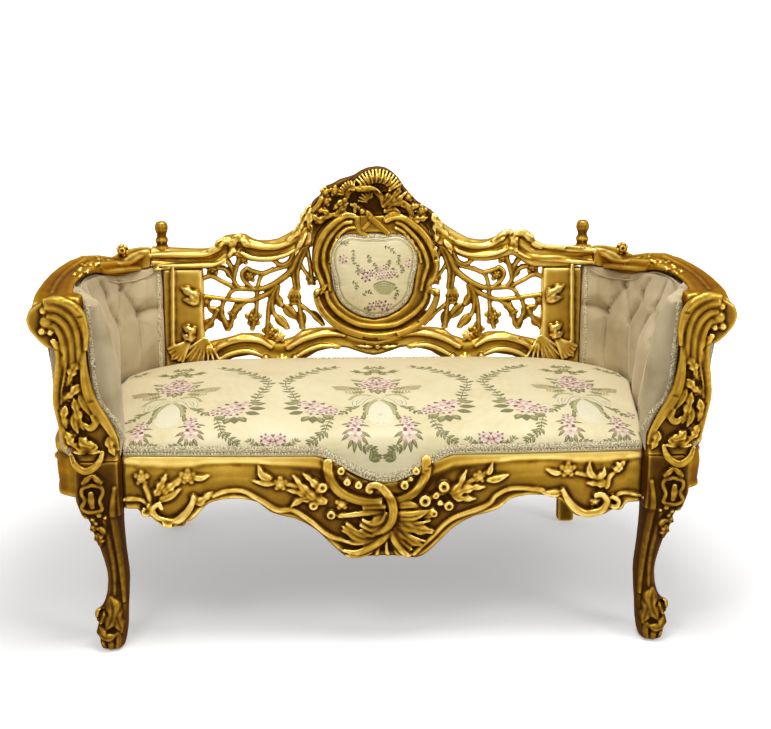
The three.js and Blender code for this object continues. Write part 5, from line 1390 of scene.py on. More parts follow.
def draw_half(draw):
    """Left half of the repeat, with its centre at 1606 on the drawing."""
    # tone on tone ripples behind the basket
    x, s = chart(1370, 250)
    for r in (20, 27, 34, 41, 48, 55):
        draw.scroll([(x + r * math.cos(a), s + 0.8 * r * math.sin(a))
                     for a in np.radians((-35, 0, 35, 70, 105))], 1.4, "#BBA878", STRAW)
    # basket with its flowers
    for x, y, r in places("""
            1606,208,22 1568,203,20 1538,190,17 1590,172,17 1556,226,18 1586,232,16 1520,214,14"""):
        draw.rose(*chart(x, y), r, turn=x)
    for x, y, length, angle in places("""
            1520,235,22,160 1532,215,20,140 1530,250,20,200 1510,190,18,150 1560,150,20,110
            1585,140,20,95 1606,140,20,90 1590,238,18,250 1606,245,16,270"""):
        draw.leaf(*chart(x, y), length * 1.7, angle, OLIVE if length > 18 else SAGE, 0.5)
    draw.spray(charted("1550,150 1505,130 1455,135"), OLIVE, 24, 18, 2.4)
    draw.spray(charted("1606,140 1575,112 1520,105"), SAGE, 24, 18, 2.4)
    # scrolled arch over a pale oval
    draw.put((np.array([chart(1606 + 58 * math.cos(a), 385 - 70 * math.sin(a))
                        for a in np.linspace(0, 2 * np.pi, 16, endpoint=False)]),
              chart(1606, 385)), "#F2EAC9", 0.4)
    draw.scroll(charted("1606,290 1570,285 1530,300 1500,325 1470,330 1462,312 1480,300"),
                7.5, CREAM, OLIVE)
    draw.scroll(charted("1600,300 1565,315 1540,345 1528,385"), 7.0, SAGE, OLIVE)
    draw.scroll(charted("1560,275 1510,268 1470,280 1430,300"), 5.0, SAGE, OLIVE)
    for x, y, angle in places("""
            1560,318,235 1545,340,250 1532,365,262 1524,385,270 1580,308,220 1500,335,230
            1480,345,215"""):
        draw.leaf(*chart(x, y), 30, angle, OLIVE, 0.36)
    # rose drop
    for x, y, r in places("1480,412,14 1474,458,18 1470,512,21 1492,430,10"):
        draw.rose(*chart(x, y), r, turn=y)
    for x, y, length, angle in places("""
            1452,440,15,200 1495,445,14,-20 1448,480,17,215 1498,482,17,-35 1440,505,16,225
            1503,512,17,-50 1470,535,20,265 1480,535,18,285 1460,535,16,245"""):
        draw.leaf(*chart(x, y), length * 1.7, angle, OLIVE, 0.3)
    # garland to the next repeat
    draw.spray(charted("1455,345 1415,370 1375,385"), OLIVE, 20, 14, 2.2)
    for x, y, r in places("""
            1352,376,13 1322,364,16 1288,352,19 1248,340,25 1208,330,26 1176,322,18 1262,378,15
            1226,372,17"""):
        draw.rose(*chart(x, y), r, turn=x + y)
    for x, y, length, angle in places("""
            1225,400,24,265 1195,395,22,240 1165,372,24,200 1140,350,26,185 1250,402,22,285
            1280,392,18,300 1310,392,16,290 1160,325,22,150 1130,322,22,165"""):
        draw.leaf(*chart(x, y), length * 1.5, angle, MOSS if length > 22 else OLIVE, 0.62)
    draw.spray(charted("1140,325 1105,290 1085,255 1058,225 1050,190"), MOSS, 24, 17, 2.2)
    draw.spray(charted("1050,190 1090,170 1150,150 1220,130 1290,112 1380,105"), OLIVE, 28, 22, 2.4)
    # hanging sprig and the ferns along the front
    draw.spray(charted("1325,410 1310,450 1290,490 1262,520 1225,550 1195,575"), OLIVE, 19, 14, 2.0)
    draw.spray(charted("1520,588 1560,600 1606,622"), OLIVE, 19, 12, 2.0)
    draw.spray(charted("1562,670 1580,645 1606,622"), OLIVE, 22, 12, 2.0)
    # small posy between two repeats
    for x, y, r in places("990,548,17 1020,536,12 1006,574,12"):
        draw.rose(*chart(x, y), r, turn=x)
    draw.spray(charted("1035,560 1065,575 1095,560 1125,530"), SAGE, 12, 9)


pattern = Pattern(seat_cover)
for centre in (-REPEAT, 0.0, REPEAT):
    for side in (1, -1):
        pattern.centre, pattern.side = MOTIF_CENTRE + centre, side
        draw_half(pattern)
verts, faces = slab(seat, under_seat(seat))
seat_piece = dressed("brocade_seat", verts, faces, pattern.mesh(), ["seat_cushion"])
welt = [seat_cover.find(*p) for p in places("""
        128,376 138,371.5 152,367.5 172,364 196,361.5 225,360 262,359 310,358.6 376,358.4""")]
welt = [seat_cover.at(*p, 0.6) for p in welt]
welt = np.array([p for p in welt if p is not None])
print("seat", len(verts), "points,", len(pattern.parts), "woven shapes")

# %% [markdown]
# ## Velvet
# The arms wear a plain cut velvet in warm grey beige. Its pile scatters light at grazing angles, so
# the cloth glows softly along its folds, and crushed places look a little lighter or darker. Deep
# folds and tufts are painted darker, as painted shade.

# %% Velvet and other cloths
def velvet_material():
    made, tree, shader, place = material("greige_cut_velvet")
    crush = node(tree, "ShaderNodeTexNoise", Vector=place, Scale=9.0, Detail=4.0, Roughness=0.5,
                 Distortion=0.3)
    fold_shade = node(tree, "ShaderNodeAttribute", {"attribute_name": "fold_shade"})
    # Painted shade: the stored fold value darkens the velvet in its folds and tufts.
    depth = node(tree, "ShaderNodeMath", {"operation": "MULTIPLY_ADD"}, i0=(fold_shade, "Fac"), i1=-0.3,
                 i2=crush)
    colour = node(tree, "ShaderNodeValToRGB", i0=depth, stops=[
        (0.06, "#6E5F44"), (0.3, "#A08E6B"), (0.5, "#B8A683"), (0.75, "#C8B896")])
    pile = node(tree, "ShaderNodeTexNoise", Vector=place, Scale=900.0, Detail=2.0)
    bump = node(tree, "ShaderNodeBump", Strength=0.2, Distance=0.0006, Height=pile)
    feed(tree, shader, Base_Color=colour, Normal=bump, Roughness=0.82, Sheen_Weight=0.4,
         Sheen_Roughness=0.35, Sheen_Tint=linear("#F2E9D4"), Specular_IOR_Level=0.25)
    return made


def plain_weave(name, pitch, dark, mid, light):
    """A coarse plain weave of threads at a pitch in millimetres."""
    made, tree, shader, place = material(name)
    warp, weft, up = [node(tree, "ShaderNodeTexWave", {"bands_direction": way}, Vector=place,
                           Scale=WAVE_SCALE / (pitch * MM), Distortion=1.2, Detail=2.0,
                           Detail_Scale=3.0) for way in "XYZ"]
    high = node(tree, "ShaderNodeMath", {"operation": "ADD"}, i0=warp, i1=weft)
    high = node(tree, "ShaderNodeMath", {"operation": "MULTIPLY_ADD"}, i0=up, i1=0.5, i2=high)
    high = node(tree, "ShaderNodeMath", {"operation": "MULTIPLY"}, i0=high, i1=0.4)
    colour = node(tree, "ShaderNodeValToRGB", i0=high,
                  stops=[(0.15, dark), (0.5, mid), (0.9, light)])
    bump = node(tree, "ShaderNodeBump", Strength=0.5, Distance=0.0008, Height=high)
    feed(tree, shader, Base_Color=colour, Normal=bump, Roughness=0.9)
    return made


VELVET = velvet_material()
HESSIAN = plain_weave("jute_hessian", 2.2, "#6B5233", "#A3845A", "#C3A67B")
DUST_CLOTH = plain_weave("black_brown_cotton", 1.4, "#1E1A17", "#2C2622", "#3A332E")
print("cloths", VELVET.name, HESSIAN.name, DUST_CLOTH.name)

# %% [markdown]
# ## Tufted arms
# Buttons pull the velvet deep into the stuffing. Between them the cloth lies in diamond folds, and
# straight pleats run from the lower buttons down to the seat. The pad is the measured one, eased,
# then drawn in along these folds and blown up between them. Its places are found along the arm and
# up it, because the arm bows out and curves round the corner.

# %% Tufted arm pads
pad_tree = tree_of(*blank("arm_pad_right"))
ARM_LINE = []
for y in np.arange(-334.0, 276.0, 6.0):
    hit = pad_tree.ray_cast(Vector((0, y, 520)), Vector((1, 0, 0)), 900)[0]
    ARM_LINE.append((hit.x, y))
ARM_LINE = np.array(ARM_LINE)
ARM_RUN = np.r_[0, np.cumsum(np.linalg.norm(np.diff(ARM_LINE, axis=0), axis=1))]


def along_arm(points):
    """Distance along the arm from its front, and the inward direction there."""
    gap = ((points[:, None, :2] - ARM_LINE[None]) ** 2).sum(2)
    near = gap.argmin(1)
    run = unit(np.gradient(ARM_LINE, axis=0), 0)
    return ARM_RUN[near], np.stack([-run[near, 1], run[near, 0], np.zeros(len(near))], 1)


def arm_spot(px, py):
    """Distance along the arm and height, for a place in the picture on the right arm."""
    hit = seen_on(pad_tree, px, py)[0]
    return float(along_arm(np.array([hit[:]]))[0][0]), hit.z


LOWER_SEEN = [arm_spot(*p) for p in ((600, 316), (622, 319), (639, 326))]
UPPER_SEEN = [arm_spot(*p) for p in ((611, 296), (633, 301))]
print("buttons seen", [tuple(round(v) for v in p) for p in LOWER_SEEN + UPPER_SEEN])
LOWER_HIGH, UPPER_HIGH, BUTTON_GAP, LAST_BUTTON = 612.0, 690.0, 104.0, 590.0
LOWER = [(LAST_BUTTON - BUTTON_GAP * k, LOWER_HIGH) for k in range(5)]
UPPER = [(LAST_BUTTON - BUTTON_GAP * (k + 0.5), UPPER_HIGH - 3 * k) for k in range(5)]
ARM_END = ARM_RUN[-1] + 30


def fold_lines():
    """Folds as (from, to, depth) in distance along the arm and height."""
    lines = [(LOWER[0], (ARM_END, LOWER_HIGH + 6), 9.0)]
    for k, (s, z) in enumerate(LOWER):
        lines.append(((s, z), (s - 8, 470), 10.0))
        lines.append(((s, z), UPPER[k], 9.0))
        if k:
            lines.append(((s, z), UPPER[k - 1], 9.0))
    for k, (s, z) in enumerate(UPPER):
        lines.append(((s, z), (s - 34, z + 72), 8.0))
    return lines


def gap_to(points, a, b):
    """Distance of points to a line between two places, and the share of the way along it."""
    a, b = np.array(a), np.array(b)
    run = b - a
    t = np.clip(((points - a) @ run) / (run @ run), 0, 1)
    return np.linalg.norm(points - a - t[:, None] * run, axis=1), t


verts, faces = skin(*blank("arm_pad_right"), 3.4)
verts = relax(verts, faces, 22)
run_at, inward = along_arm(verts)
out = normals_of(verts, faces)
if (out * inward).sum(1)[np.abs(verts[:, 2] - 560) < 20].max() < 0.5:
    out = -out
inner = np.clip(((out * inward).sum(1) - 0.1) / 0.5, 0, 1)
place_at = np.stack([run_at, verts[:, 2]], 1)
nearest, pull = np.full(len(verts), 1e3), np.zeros(len(verts))
for start, end, deep in fold_lines():
    gap, t = gap_to(place_at, start, end)
    nearest = np.minimum(nearest, gap)
    pull = np.maximum(pull, deep * (1 - 0.55 * t) * np.exp(-(gap / 6.5) ** 1.4))
for s, z in LOWER + UPPER:
    gap = np.hypot(place_at[:, 0] - s, place_at[:, 1] - z)
    pull = np.maximum(pull, 19.0 * np.exp(-(gap / 13.0) ** 2))
swell = 8.5 * (1 - np.exp(-(nearest / 24.0) ** 2))
edge = np.clip((verts[:, 2] - 448) / 36, 0, 1) * np.clip((ARM_END - run_at) / 40, 0, 1)
edge *= np.clip((run_at - 6) / 30, 0, 1)
tops = np.interp(run_at, [0, 60, 200, 300, 420, 560, ARM_END],
                 [786, 786, 778, 764, 746, 716, 700])
edge *= np.clip((tops - verts[:, 2]) / 60, 0, 1)
inner *= np.clip((tops - 4 - verts[:, 2]) / 12, 0, 1)
verts += inward * ((swell * edge - pull * np.clip(run_at / 60, 0, 1)) * inner)[:, None]
verts = relax(verts, faces, 1)
rail_tree = tree_of(*blank("arm_rail_right"))
for i in np.flatnonzero(verts[:, 2] > 735):
    gap = rail_tree.find_nearest(Vector(verts[i]), 40)[3]
    sunk = 2.5 + (7.5 * math.exp(-(gap / 11) ** 2) if gap is not None else 0)
    verts[i, 2] -= sunk * min(1, (verts[i, 2] - 735) / 30)
# Painted shade for the velvet: deeper folds and tufts get a larger value, which darkens their
# colour.
fold_shade_amount = np.clip(pull / 12 - swell / 40, 0, 1)
for piece in both_sides("tufted_arm", (verts, faces), VELVET, "taupe_velvet", "arm_pad"):
    store = piece.data.attributes.new("fold_shade", "FLOAT", "POINT")
    store.data.foreach_set("value", fold_shade_amount)
arm_tree = tree_of(verts, triangles(faces))
print("tufted arms", len(verts), "points")

# %% [markdown]
# ## Buttons, cord and braid
# Covered buttons sit in the tufts. A thin cord follows the arm rail. A looped braid of pale silver
# thread, 12 mm wide, covers every tacked edge. It is made of three plaited strands, each a wave
# across the braid with its own start, and small loops along its edges.

# %% Trimmings
def braid_material(name, dark, mid, light):
    made, tree, shader, place = material(name)
    ply = node(tree, "ShaderNodeTexNoise", Vector=place, Scale=330.0, Detail=3.0)
    colour = node(tree, "ShaderNodeValToRGB", i0=ply,
                  stops=[(0.36, dark), (0.5, mid), (0.64, light)])
    bump = node(tree, "ShaderNodeBump", Strength=0.4, Distance=0.0005, Height=ply)
    feed(tree, shader, Base_Color=colour, Normal=bump, Roughness=0.4, Sheen_Weight=0.3)
    return made


BRAID = braid_material("ivory_rayon_braid", "#8B7A4E", "#CDBD90", "#F5EBCB")
# Dark cord colour, used as painted shade behind the beaded edge of the seat.
GAP_SHADE_CORD = braid_material("dark_gap_shade_cord", "#3E3016", "#5E4A24", "#8A7240")
PITCH = 9.0


def tube(line, across, radius, sides=5):
    """A round strand along points, given one direction across them."""
    run = unit(np.gradient(line, axis=0))
    up = unit(np.cross(run, across))
    side = np.cross(up, run)
    turn = np.linspace(0, 2 * np.pi, sides, endpoint=False)
    rings = line[:, None] + radius * (np.cos(turn)[None, :, None] * side[:, None]
                                      + np.sin(turn)[None, :, None] * up[:, None])
    return closed(rings, line[:1], line[-1:])


def braid(points, out, wide=12.0, pitch=PITCH):
    """Plaited strands along points in millimetres, raised along the outward directions."""
    line, share = along(points, pitch / 8)
    out = np.stack([np.interp(share, np.linspace(0, 1, len(out)), np.asarray(out)[:, k])
                    for k in range(3)], 1)
    out = unit(out, 0)
    run = unit(np.gradient(line, axis=0))
    side = np.cross(run, out)
    length = share * np.linalg.norm(np.diff(line, axis=0), axis=1).sum()
    made = []
    for k in range(3):
        a = 2 * np.pi * (length / pitch + k / 3)
        path = line + side * (np.sin(a) * wide * 0.36)[:, None] \
            + out * (1.6 + 0.9 * np.cos(2 * a))[:, None]
        made.append(tube(path, out, wide * 0.105))
    for edge in (-1, 1):
        a = 2 * np.pi * length / (pitch * 0.62)
        path = line + side * (edge * wide * (0.42 + 0.07 * np.sin(a)))[:, None] \
            + out * (1.0 + 0.5 * np.cos(a))[:, None] + run * (0.9 * np.cos(a))[:, None]
        made.append(tube(path, out, wide * 0.07, 4))
    return join(made)


def on_arm(spots):
    """Points and outward directions on the right arm pad for places in the picture."""
    found = [seen_on(arm_tree, *spot) for spot in spots]
    return [np.array([hit[k][:] for hit in found if hit]) for k in (0, 1)]


knobs = []
for s, z in LOWER + UPPER:
    i = int(np.interp(s, ARM_RUN, np.arange(len(ARM_RUN))))
    x, y = ARM_LINE[i]
    run = ARM_LINE[min(i + 1, len(ARM_LINE) - 1)] - ARM_LINE[i - 1]
    inward_at = Vector((-run[1], run[0], 0)).normalized()
    hit = arm_tree.ray_cast(Vector((x, y, z)) + inward_at * 60, -inward_at, 200)[0]
    if hit:
        knobs.append(nestle(dome(0, 0, 8.5, 8.5, 5.0, base=1.5, count=12), hit, inward_at))
both_sides("covered_buttons", join(knobs), VELVET, "taupe_velvet")

points, out = on_arm(places("""
        678,302 679,312 677.5,326 675.5,342 673.5,360 671,380 666,397 657.5,407.5 650,417 643,429
        640.5,441 640,452"""))
print("front edge braid points", np.round(points[[0, 5, -1]]).tolist())
both_sides("arm_braid", braid(points, out, 15.0), BRAID, "floral_brocade")
hits = [arm_tree.ray_cast(Vector((546, 0, z)), Vector((0, 1, 0)), 400)[:2]
        for z in np.linspace(452, 752, 16)]
points, out = [np.array([hit[k][:] for hit in hits if hit[0]]) for k in (0, 1)]
print("braid beside the stile", np.round(points[[0, -1]]).tolist())
both_sides("arm_back_braid", braid(points, out * np.sign(-out[:, 1:2]), 10.0), BRAID,
           "floral_brocade")
points, out = on_arm(places("580,267 590,269.5 606,277 621,279 635,279 652,273 668,277 682,288"))
cord = tube(along(points + out * 1.4, 4.0)[0], UP, 1.9, 7)
both_sides("arm_cord", cord, VELVET, "taupe_velvet")

# velvet roll that closes the front edge of the outside cover against the post, and its braid
heights = np.linspace(447, 712, 34)
edge_x = np.interp(heights, (440, 594, 712), (678.3, 696.1, 699.5))
post_x = np.interp(heights, (440, 450, 500, 550, 600, 650, 712),
                   (650, 655, 672, 677, 675, 668, 690))
turn = np.linspace(0, 2 * np.pi, 12, endpoint=False)
half = (edge_x - post_x) / 2 + 2.5
half *= np.clip(np.minimum(heights - 444, 716 - heights) / 8, 0.3, 1)
around = np.stack([(edge_x - half)[:, None] + half[:, None] * np.cos(turn),
                   -310 + 7.5 * np.sin(turn) + 0 * half[:, None],
                   heights[:, None] + 0 * turn], 2)
for piece in both_sides("arm_front_roll", closed(around, around[0].mean(0), around[-1].mean(0)),
                        VELVET, "taupe_velvet"):
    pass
edge = np.stack([edge_x + 1.0, np.full(34, -303.5), heights], 1)
both_sides("outside_braid", braid(edge, np.tile([1.0, -0.35, 0.0], (34, 1)), 12.0), BRAID,
           "floral_brocade")

x = np.linspace(-557, 557, 90)
seat_edge = np.stack([x, front_at(x) - 0.4, lobe_foot(x) + 14.5], 1)
add_object("seat_braid", *braid(seat_edge, np.tile([0, -1.0, 0.15], (90, 1)), 16.0, 10.0), BRAID,
           "floral_brocade")
line = along(seat_edge - (0, 2.0, 9.0), 0.875)[0]
beads, rim = tube(line - (0, 1.0, 0), UP, 1.0, 6)
swell = np.repeat(1.15 + 1.15 * np.cos(np.arange(len(line)) * 2 * np.pi / 8), 6)
beads[:-2] += (beads[:-2] - np.repeat(line - (0, 1.0, 0), 6, 0)) * swell[:, None]
add_object("seat_beaded_edge", beads, rim, BRAID, "floral_brocade")
# A dark cord behind the beads: painted shade that darkens the gaps between them.
add_object("seat_gap_shade_cord", *tube(line[::4] + (0, 0.6, 0), UP, 2.3, 8), GAP_SHADE_CORD, "floral_brocade")
welt = np.vstack([welt, (welt * (-1, 1, 1))[::-1]])
add_object("seat_back_welt", *tube(along(welt, 5.0)[0], UP, 3.0, 8), BRAID, "floral_brocade")
print("trimmings ready")

# %% [markdown]
# ## Medallion
# A small domed pad in the same brocade, with a basket of flowers in its middle, held by braid.

# %% Medallion pad
class Face:
    """A cover seen from the front, with places across and up as its cloth coordinates."""

    def __init__(self, verts, faces):
        self.tree = tree_of(verts, faces)

    def find(self, px, py):
        hit = seen_on(self.tree, px, py)[0]
        return hit.x, hit.z

    def at(self, across, high, lift=0.0):
        hit = self.tree.ray_cast(Vector((across, 100, high)), Vector((0, 1, 0)), 260)[0]
        return None if hit is None else np.array(hit) - (0, lift, 0)


verts, faces = skin(*blank("medallion_pad"), 3.2)
verts = relax(verts, faces, 10)
rim = (verts[:, 1] > 296) | (np.abs(verts[:, 0]) > 100)
verts = stuff(verts, faces, rim, 6.0, 5.0)
verts = level_notch(relax(verts, faces, 4))
pad_face = Face(verts, triangles(faces))
draw = Pattern(pad_face)


def pad_chart(x, y):
    """The pad was drawn ten units to a picture pixel, from (320, 225)."""
    return pad_face.find(320 + x / 10, 225 + y / 10)


for x, y, r in places("""
        465,520,13 510,480,9 640,505,9 585,515,9 700,500,9 740,470,8 520,815,12 640,805,14
        580,785,9 700,820,9 232,340,11 890,385,10 660,420,8 600,440,7 420,460,7"""):
    draw.rose(*pad_chart(x, y), r, turn=x)
draw.put((np.array([pad_chart(645 + 115 * math.cos(a), 600 + 95 * math.sin(a) * (a < np.pi))
                    for a in np.linspace(0, 2 * np.pi, 14, endpoint=False)]),
          pad_chart(645, 630)), SAGE, 0.6)
for k in range(4):
    draw.scroll([pad_chart(550 + 14 * k, 600 + 24 * k), pad_chart(645, 585 + 24 * k),
                 pad_chart(740 - 14 * k, 600 + 24 * k)], 1.2, OLIVE, SAGE)
for k in range(5):
    draw.scroll([pad_chart(575 + 35 * k, 596), pad_chart(600 + 22 * k, 690)], 1.0, STRAW, SAGE)
draw.scroll([pad_chart(540, 595), pad_chart(640, 560), pad_chart(750, 595)], 1.8, MOSS, SAGE)
SPRAYS = ((MOSS, """
    410,440 440,470 455,500; 540,380 560,420 580,480; 700,350 690,390 660,440;
    740,430 730,470 780,530; 760,620 775,680 740,740; 440,830 480,840 500,860;
    660,850 700,840 740,830; 430,700 480,660 530,690
"""), (SAGE, """
    650,210 710,240 760,290; 340,250 330,320 345,400; 810,400 830,440 815,490;
    210,170 240,190 290,160; 390,400 370,450 395,510; 800,300 780,350 800,400;
    480,300 500,340 490,380; 330,560 370,600 360,660
"""))
for colour, lines in SPRAYS:
    for line in lines.split(";"):
        draw.spray([pad_chart(*p) for p in places(line)], colour, 9.0, 6.0, 1.2)
heart = np.array([0.0, 692.0])
offset = verts[:, [0, 2]] - heart
angle = np.arctan2(offset[:, 1], offset[:, 0])
around = np.linspace(-np.pi, np.pi, 49)
reach = [np.hypot(*offset[np.abs((angle - a + np.pi) % (2 * np.pi) - np.pi) < 0.08].T).max() - 8.0
         for a in around]
reach[-1] = reach[0]


def inside(inset):
    """The pad's outline drawn in, as cloth coordinates."""
    return [heart + (r - inset) * np.array([math.cos(a), math.sin(a)])
            for a, r in zip(around, reach)]


for inset, thread in ((7.5, MOSS), (10.5, SAGE)):
    for shape in stem(inside(inset), 1.2):
        draw.put(shape, thread, 0.8)
medallion_piece = dressed("medallion_pad_brocade", verts, triangles(faces), draw.mesh(),
                          ["medallion_pad"])
ring = np.array([pad_face.at(*spot) for spot in inside(0.0)])
out = np.stack([ring[:, 0] * 0.004, -np.ones(len(ring)), (ring[:, 2] - 690) * 0.004], 1)
add_object("medallion_braid", *braid(ring, out, 11.0, 8.0), BRAID, "floral_brocade")
print("medallion pad", len(verts), "points")

# %% [markdown]
# ## Stretched cloths
# The outsides of the arms, the back of the medallion, the hessian that carries the stuffing and the
# dust cloth under the seat are flat cloths, tacked all round. Each keeps its measured place and is
# cut into small faces.

# %% Stretched cloths
def stretched(name, source, made_of, slot):
    """A measured cloth cut into faces of about 14 mm."""
    solid = bmesh.new()
    solid.from_mesh(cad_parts[source].data)
    bmesh.ops.triangulate(solid, faces=solid.faces[:])
    for _ in range(2):
        long_edges = [e for e in solid.edges if e.calc_length() > 14 * MM]
        bmesh.ops.subdivide_edges(solid, edges=long_edges, cuts=1)
        bmesh.ops.triangulate(solid, faces=solid.faces[:])
    mesh = bpy.data.meshes.new(name)
    solid.to_mesh(mesh)
    solid.free()
    verts, faces = arrays(mesh)
    piece = add_object(name, verts, faces, made_of, slot, [source])


print("stretched cloths helper ready")
for side in ("right", "left"):
    stretched(f"outside_velvet_{side}", f"arm_outside_cover_{side}", VELVET, "taupe_velvet")
    stretched(f"arm_lining_{side}", f"arm_hessian_{side}", HESSIAN, "jute_hessian")
stretched("medallion_back_cloth", "medallion_back_cover", SILK, "floral_brocade")
stretched("spring_hessian", "spring_cover", HESSIAN, "jute_hessian")
stretched("dust_cloth", "dust_cover", DUST_CLOTH, "jute_hessian")

# %% [markdown]
# ## Hidden carcass and springs
# The plain rails and blocks inside the seat are beech, stained brown, with fine grain along them.
# The sinuous springs are drawn steel wire. They show only from below and behind.

# %% Carcass and springs
def beech_material():
    made, tree, shader, place = material("walnut_stained_beech")
    long_grain = node(tree, "ShaderNodeMapping", Vector=place, Scale=(1.2, 40.0, 40.0))
    grain = node(tree, "ShaderNodeTexNoise", Vector=long_grain, Scale=4.0, Detail=6.0)
    fleck = node(tree, "ShaderNodeTexNoise", Vector=place, Scale=240.0, Detail=1.0)
    both = node(tree, "ShaderNodeMath", {"operation": "MULTIPLY_ADD"}, i0=fleck, i1=0.3, i2=grain)
    colour = node(tree, "ShaderNodeValToRGB", i0=both,
                  stops=[(0.45, "#5A3A1E"), (0.65, "#7A5430"), (0.85, "#94704A")])
    bump = node(tree, "ShaderNodeBump", Strength=0.2, Distance=0.0005, Height=both)
    feed(tree, shader, Base_Color=colour, Normal=bump, Roughness=0.65)
    return made


def steel_material():
    made, tree, shader, place = material("drawn_spring_steel")
    drawn = node(tree, "ShaderNodeTexNoise", Vector=place, Scale=300.0, Detail=2.0)
    colour = node(tree, "ShaderNodeValToRGB", i0=drawn,
                  stops=[(0.3, "#4A4B4D"), (0.7, "#8A8C8E")])
    rough = node(tree, "ShaderNodeMapRange", Value=drawn, To_Min=0.28, To_Max=0.5)
    feed(tree, shader, Base_Color=colour, Roughness=rough, Metallic=1.0)
    return made


BEECH, STEEL = beech_material(), steel_material()
for name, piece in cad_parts.items():
    if "block" in name or name in ("rear_seat_rail", "inner_front_rail"):
        piece.data.materials.clear()
        piece.data.materials.append(BEECH)
    elif name.startswith("seat_spring"):
        piece.data.materials.clear()
        piece.data.materials.append(STEEL)
print("carcass", BEECH.name, STEEL.name)

# %% [markdown]
# ## Arm rails, side rails, finials and rosettes
# The arm rails are moulded in long ridges and carry a spray of roses near their scroll. The side
# rails have a shell between two leaves. Each ornament is set on the wood along the surface's own
# direction, because these pieces turn round the corner.

# %% Ornament on curved pieces
def spray_at(size, leaves=5, turn=0.0):
    """A rose with leaves round it."""
    made = [rose(0, 0, size, size * 0.55)]
    for k in range(leaves):
        a = turn + 2 * math.pi * k / leaves
        line = [(math.cos(a) * size * reach, high, math.sin(a) * size * reach)
                for reach, high in ((0.7, 1.0), (1.3, 3.0), (2.0, 1.0))]
        made.append(leaf(line, size * 0.95, size * 0.4, 1, 3))
    return join(made)


def arm_rail_ornament(tree):
    made = []
    for px, py, size in places("""
            647.5,257,7 656,261.5,9 664.5,262.5,8 670,268,9 678,272,7 651,252.5,6"""):
        spot = seen_on(tree, px, py)
        if spot:
            made.append(nestle(spray_at(size, 4, px), *spot))
    for points, (thick,) in drawing("""
            592,252 603,254 614,260 626,262 640,258 649,252; 8
            592,263 604,266 614,271 626,273 641,269 651,263; 7
            655,249 675,255 695,267 713,284; 7
            663,256 681,265 697,276 709,289; 5
            """):
        spots = [seen_on(tree, *p) for p in points]
        line = np.array([np.array(s[0]) - np.array(s[1]) * thick * 0.4 for s in spots if s])
        if len(line) > 2:
            made.append(tube(along(line, 4.0)[0], UP, thick, 10))
    return made


def side_rail_ornament(tree):
    made = []

    def side_spot(y, z):
        point, out = tree.ray_cast(Vector((1000, y, z)), Vector((-1, 0, 0)), 900)[:2]
        return None if point is None else (point, out if out.x > 0 else -out)

    middle = side_spot(20, 372)
    if middle:
        made.append(nestle(spray_at(13, 6), *middle))
    for way in (1, -1):
        for y, z, length, angle in places("""
                52,376,62,8 58,366,58,-14 100,376,56,4 108,366,52,-12 150,376,44,2 60,384,40,24"""):
            spot = side_spot(20 + way * (y - 20), z)
            if spot:
                a = math.radians(angle)
                line = [(way * reach * length * math.cos(bend * a), high,
                         reach * length * math.sin(bend * a))
                        for reach, bend, high in ((0, 0, 1), (0.5, 1, 5), (1, 1.8, 2))]
                made.append(nestle(leaf(line, length * 0.36, 6, 3, 4), *spot))
    return made


carve("arm_rail_right", arm_rail_ornament, ease=5, voxel=2.7, twin="arm_rail_left", depth=3.0,
      tone=lambda v: 0.2 * np.clip((60 - v[:, 1]) / 160, 0, 1) - 0.06)
carve("side_seat_rail_right", side_rail_ornament, ease=14, voxel=2.9, twin="side_seat_rail_left",
      depth=4.5, tone=0.08)

FINIAL_X, FINIAL_Y = 537, 323
# two rows of petals: turn, thickness, then reach and height along a petal
FINIAL_PETALS = ((0.0, 3.6, ((9, 800.0), (13, 812.0), (7, 824.0), (2, 829.0))),
                 (0.5, 3.0, ((10, 772.0), (15, 782.0), (10, 792.0))))
ROSETTE_X, ROSETTE_Y, ROSETTE_Z = 626.0, 250.0, 772.0
ROSETTE_OUT = (0, -1.0, 0.12)


def finial_ornament(tree):
    made = []
    for k in range(6):
        a = 2 * math.pi * k / 6
        for shift, thick, petal in FINIAL_PETALS:
            c, s = math.cos(a + shift), math.sin(a + shift)
            line = np.array([[FINIAL_X + r * c, FINIAL_Y + r * s, z] for r, z in petal])
            made.append(tube(line, np.array([-math.sin(a), math.cos(a), 0.0]), thick, 7))
    return made


def rosette_ornament(tree):
    ring = button(lambda p: [(0.0, 0.0, 0.0)], 0, 0, 11, 8)
    made = [nestle(ring, (ROSETTE_X, ROSETTE_Y, ROSETTE_Z), ROSETTE_OUT)]
    for a in np.radians((20, 75, 130, 200, 260, 320)):
        petal = [(math.cos(a) * r, high, math.sin(a) * r) for r, high in ((7, 1), (12, 4), (17, 1))]
        made.append(nestle(leaf(petal, 11, 5, 1, 3), (ROSETTE_X, ROSETTE_Y + 4, ROSETTE_Z),
                           ROSETTE_OUT))
    return made


carve("rose_finial_right", finial_ornament, ease=1, voxel=1.6, twin="rose_finial_left", depth=1.8,
      tone=0.16)
carve("rail_rosette_right", rosette_ornament, ease=1, voxel=1.6, twin="rail_rosette_left",
      depth=1.8, tone=0.12)

# %% [markdown]
# ## Floor and studio light
# A white floor and a white surround, as on a photographer's table. What the camera and the gilding
# see of the surround is plain white; the light it gives to the pieces is lower. One large soft lamp
# stands in front, high on the left, a smaller one fills from the right and one lies overhead.

# %% Floor and light
def plain_sight(tree):
    """1 for rays from the camera, off bright surfaces or through clear ones, 0 for lighting."""
    ray = node(tree, "ShaderNodeLightPath")
    found = (ray, "Is Camera Ray")
    for kind in ("Is Glossy Ray", "Is Transmission Ray"):
        found = node(tree, "ShaderNodeMath", {"operation": "MAXIMUM"}, i0=found, i1=(ray, kind))
    return found


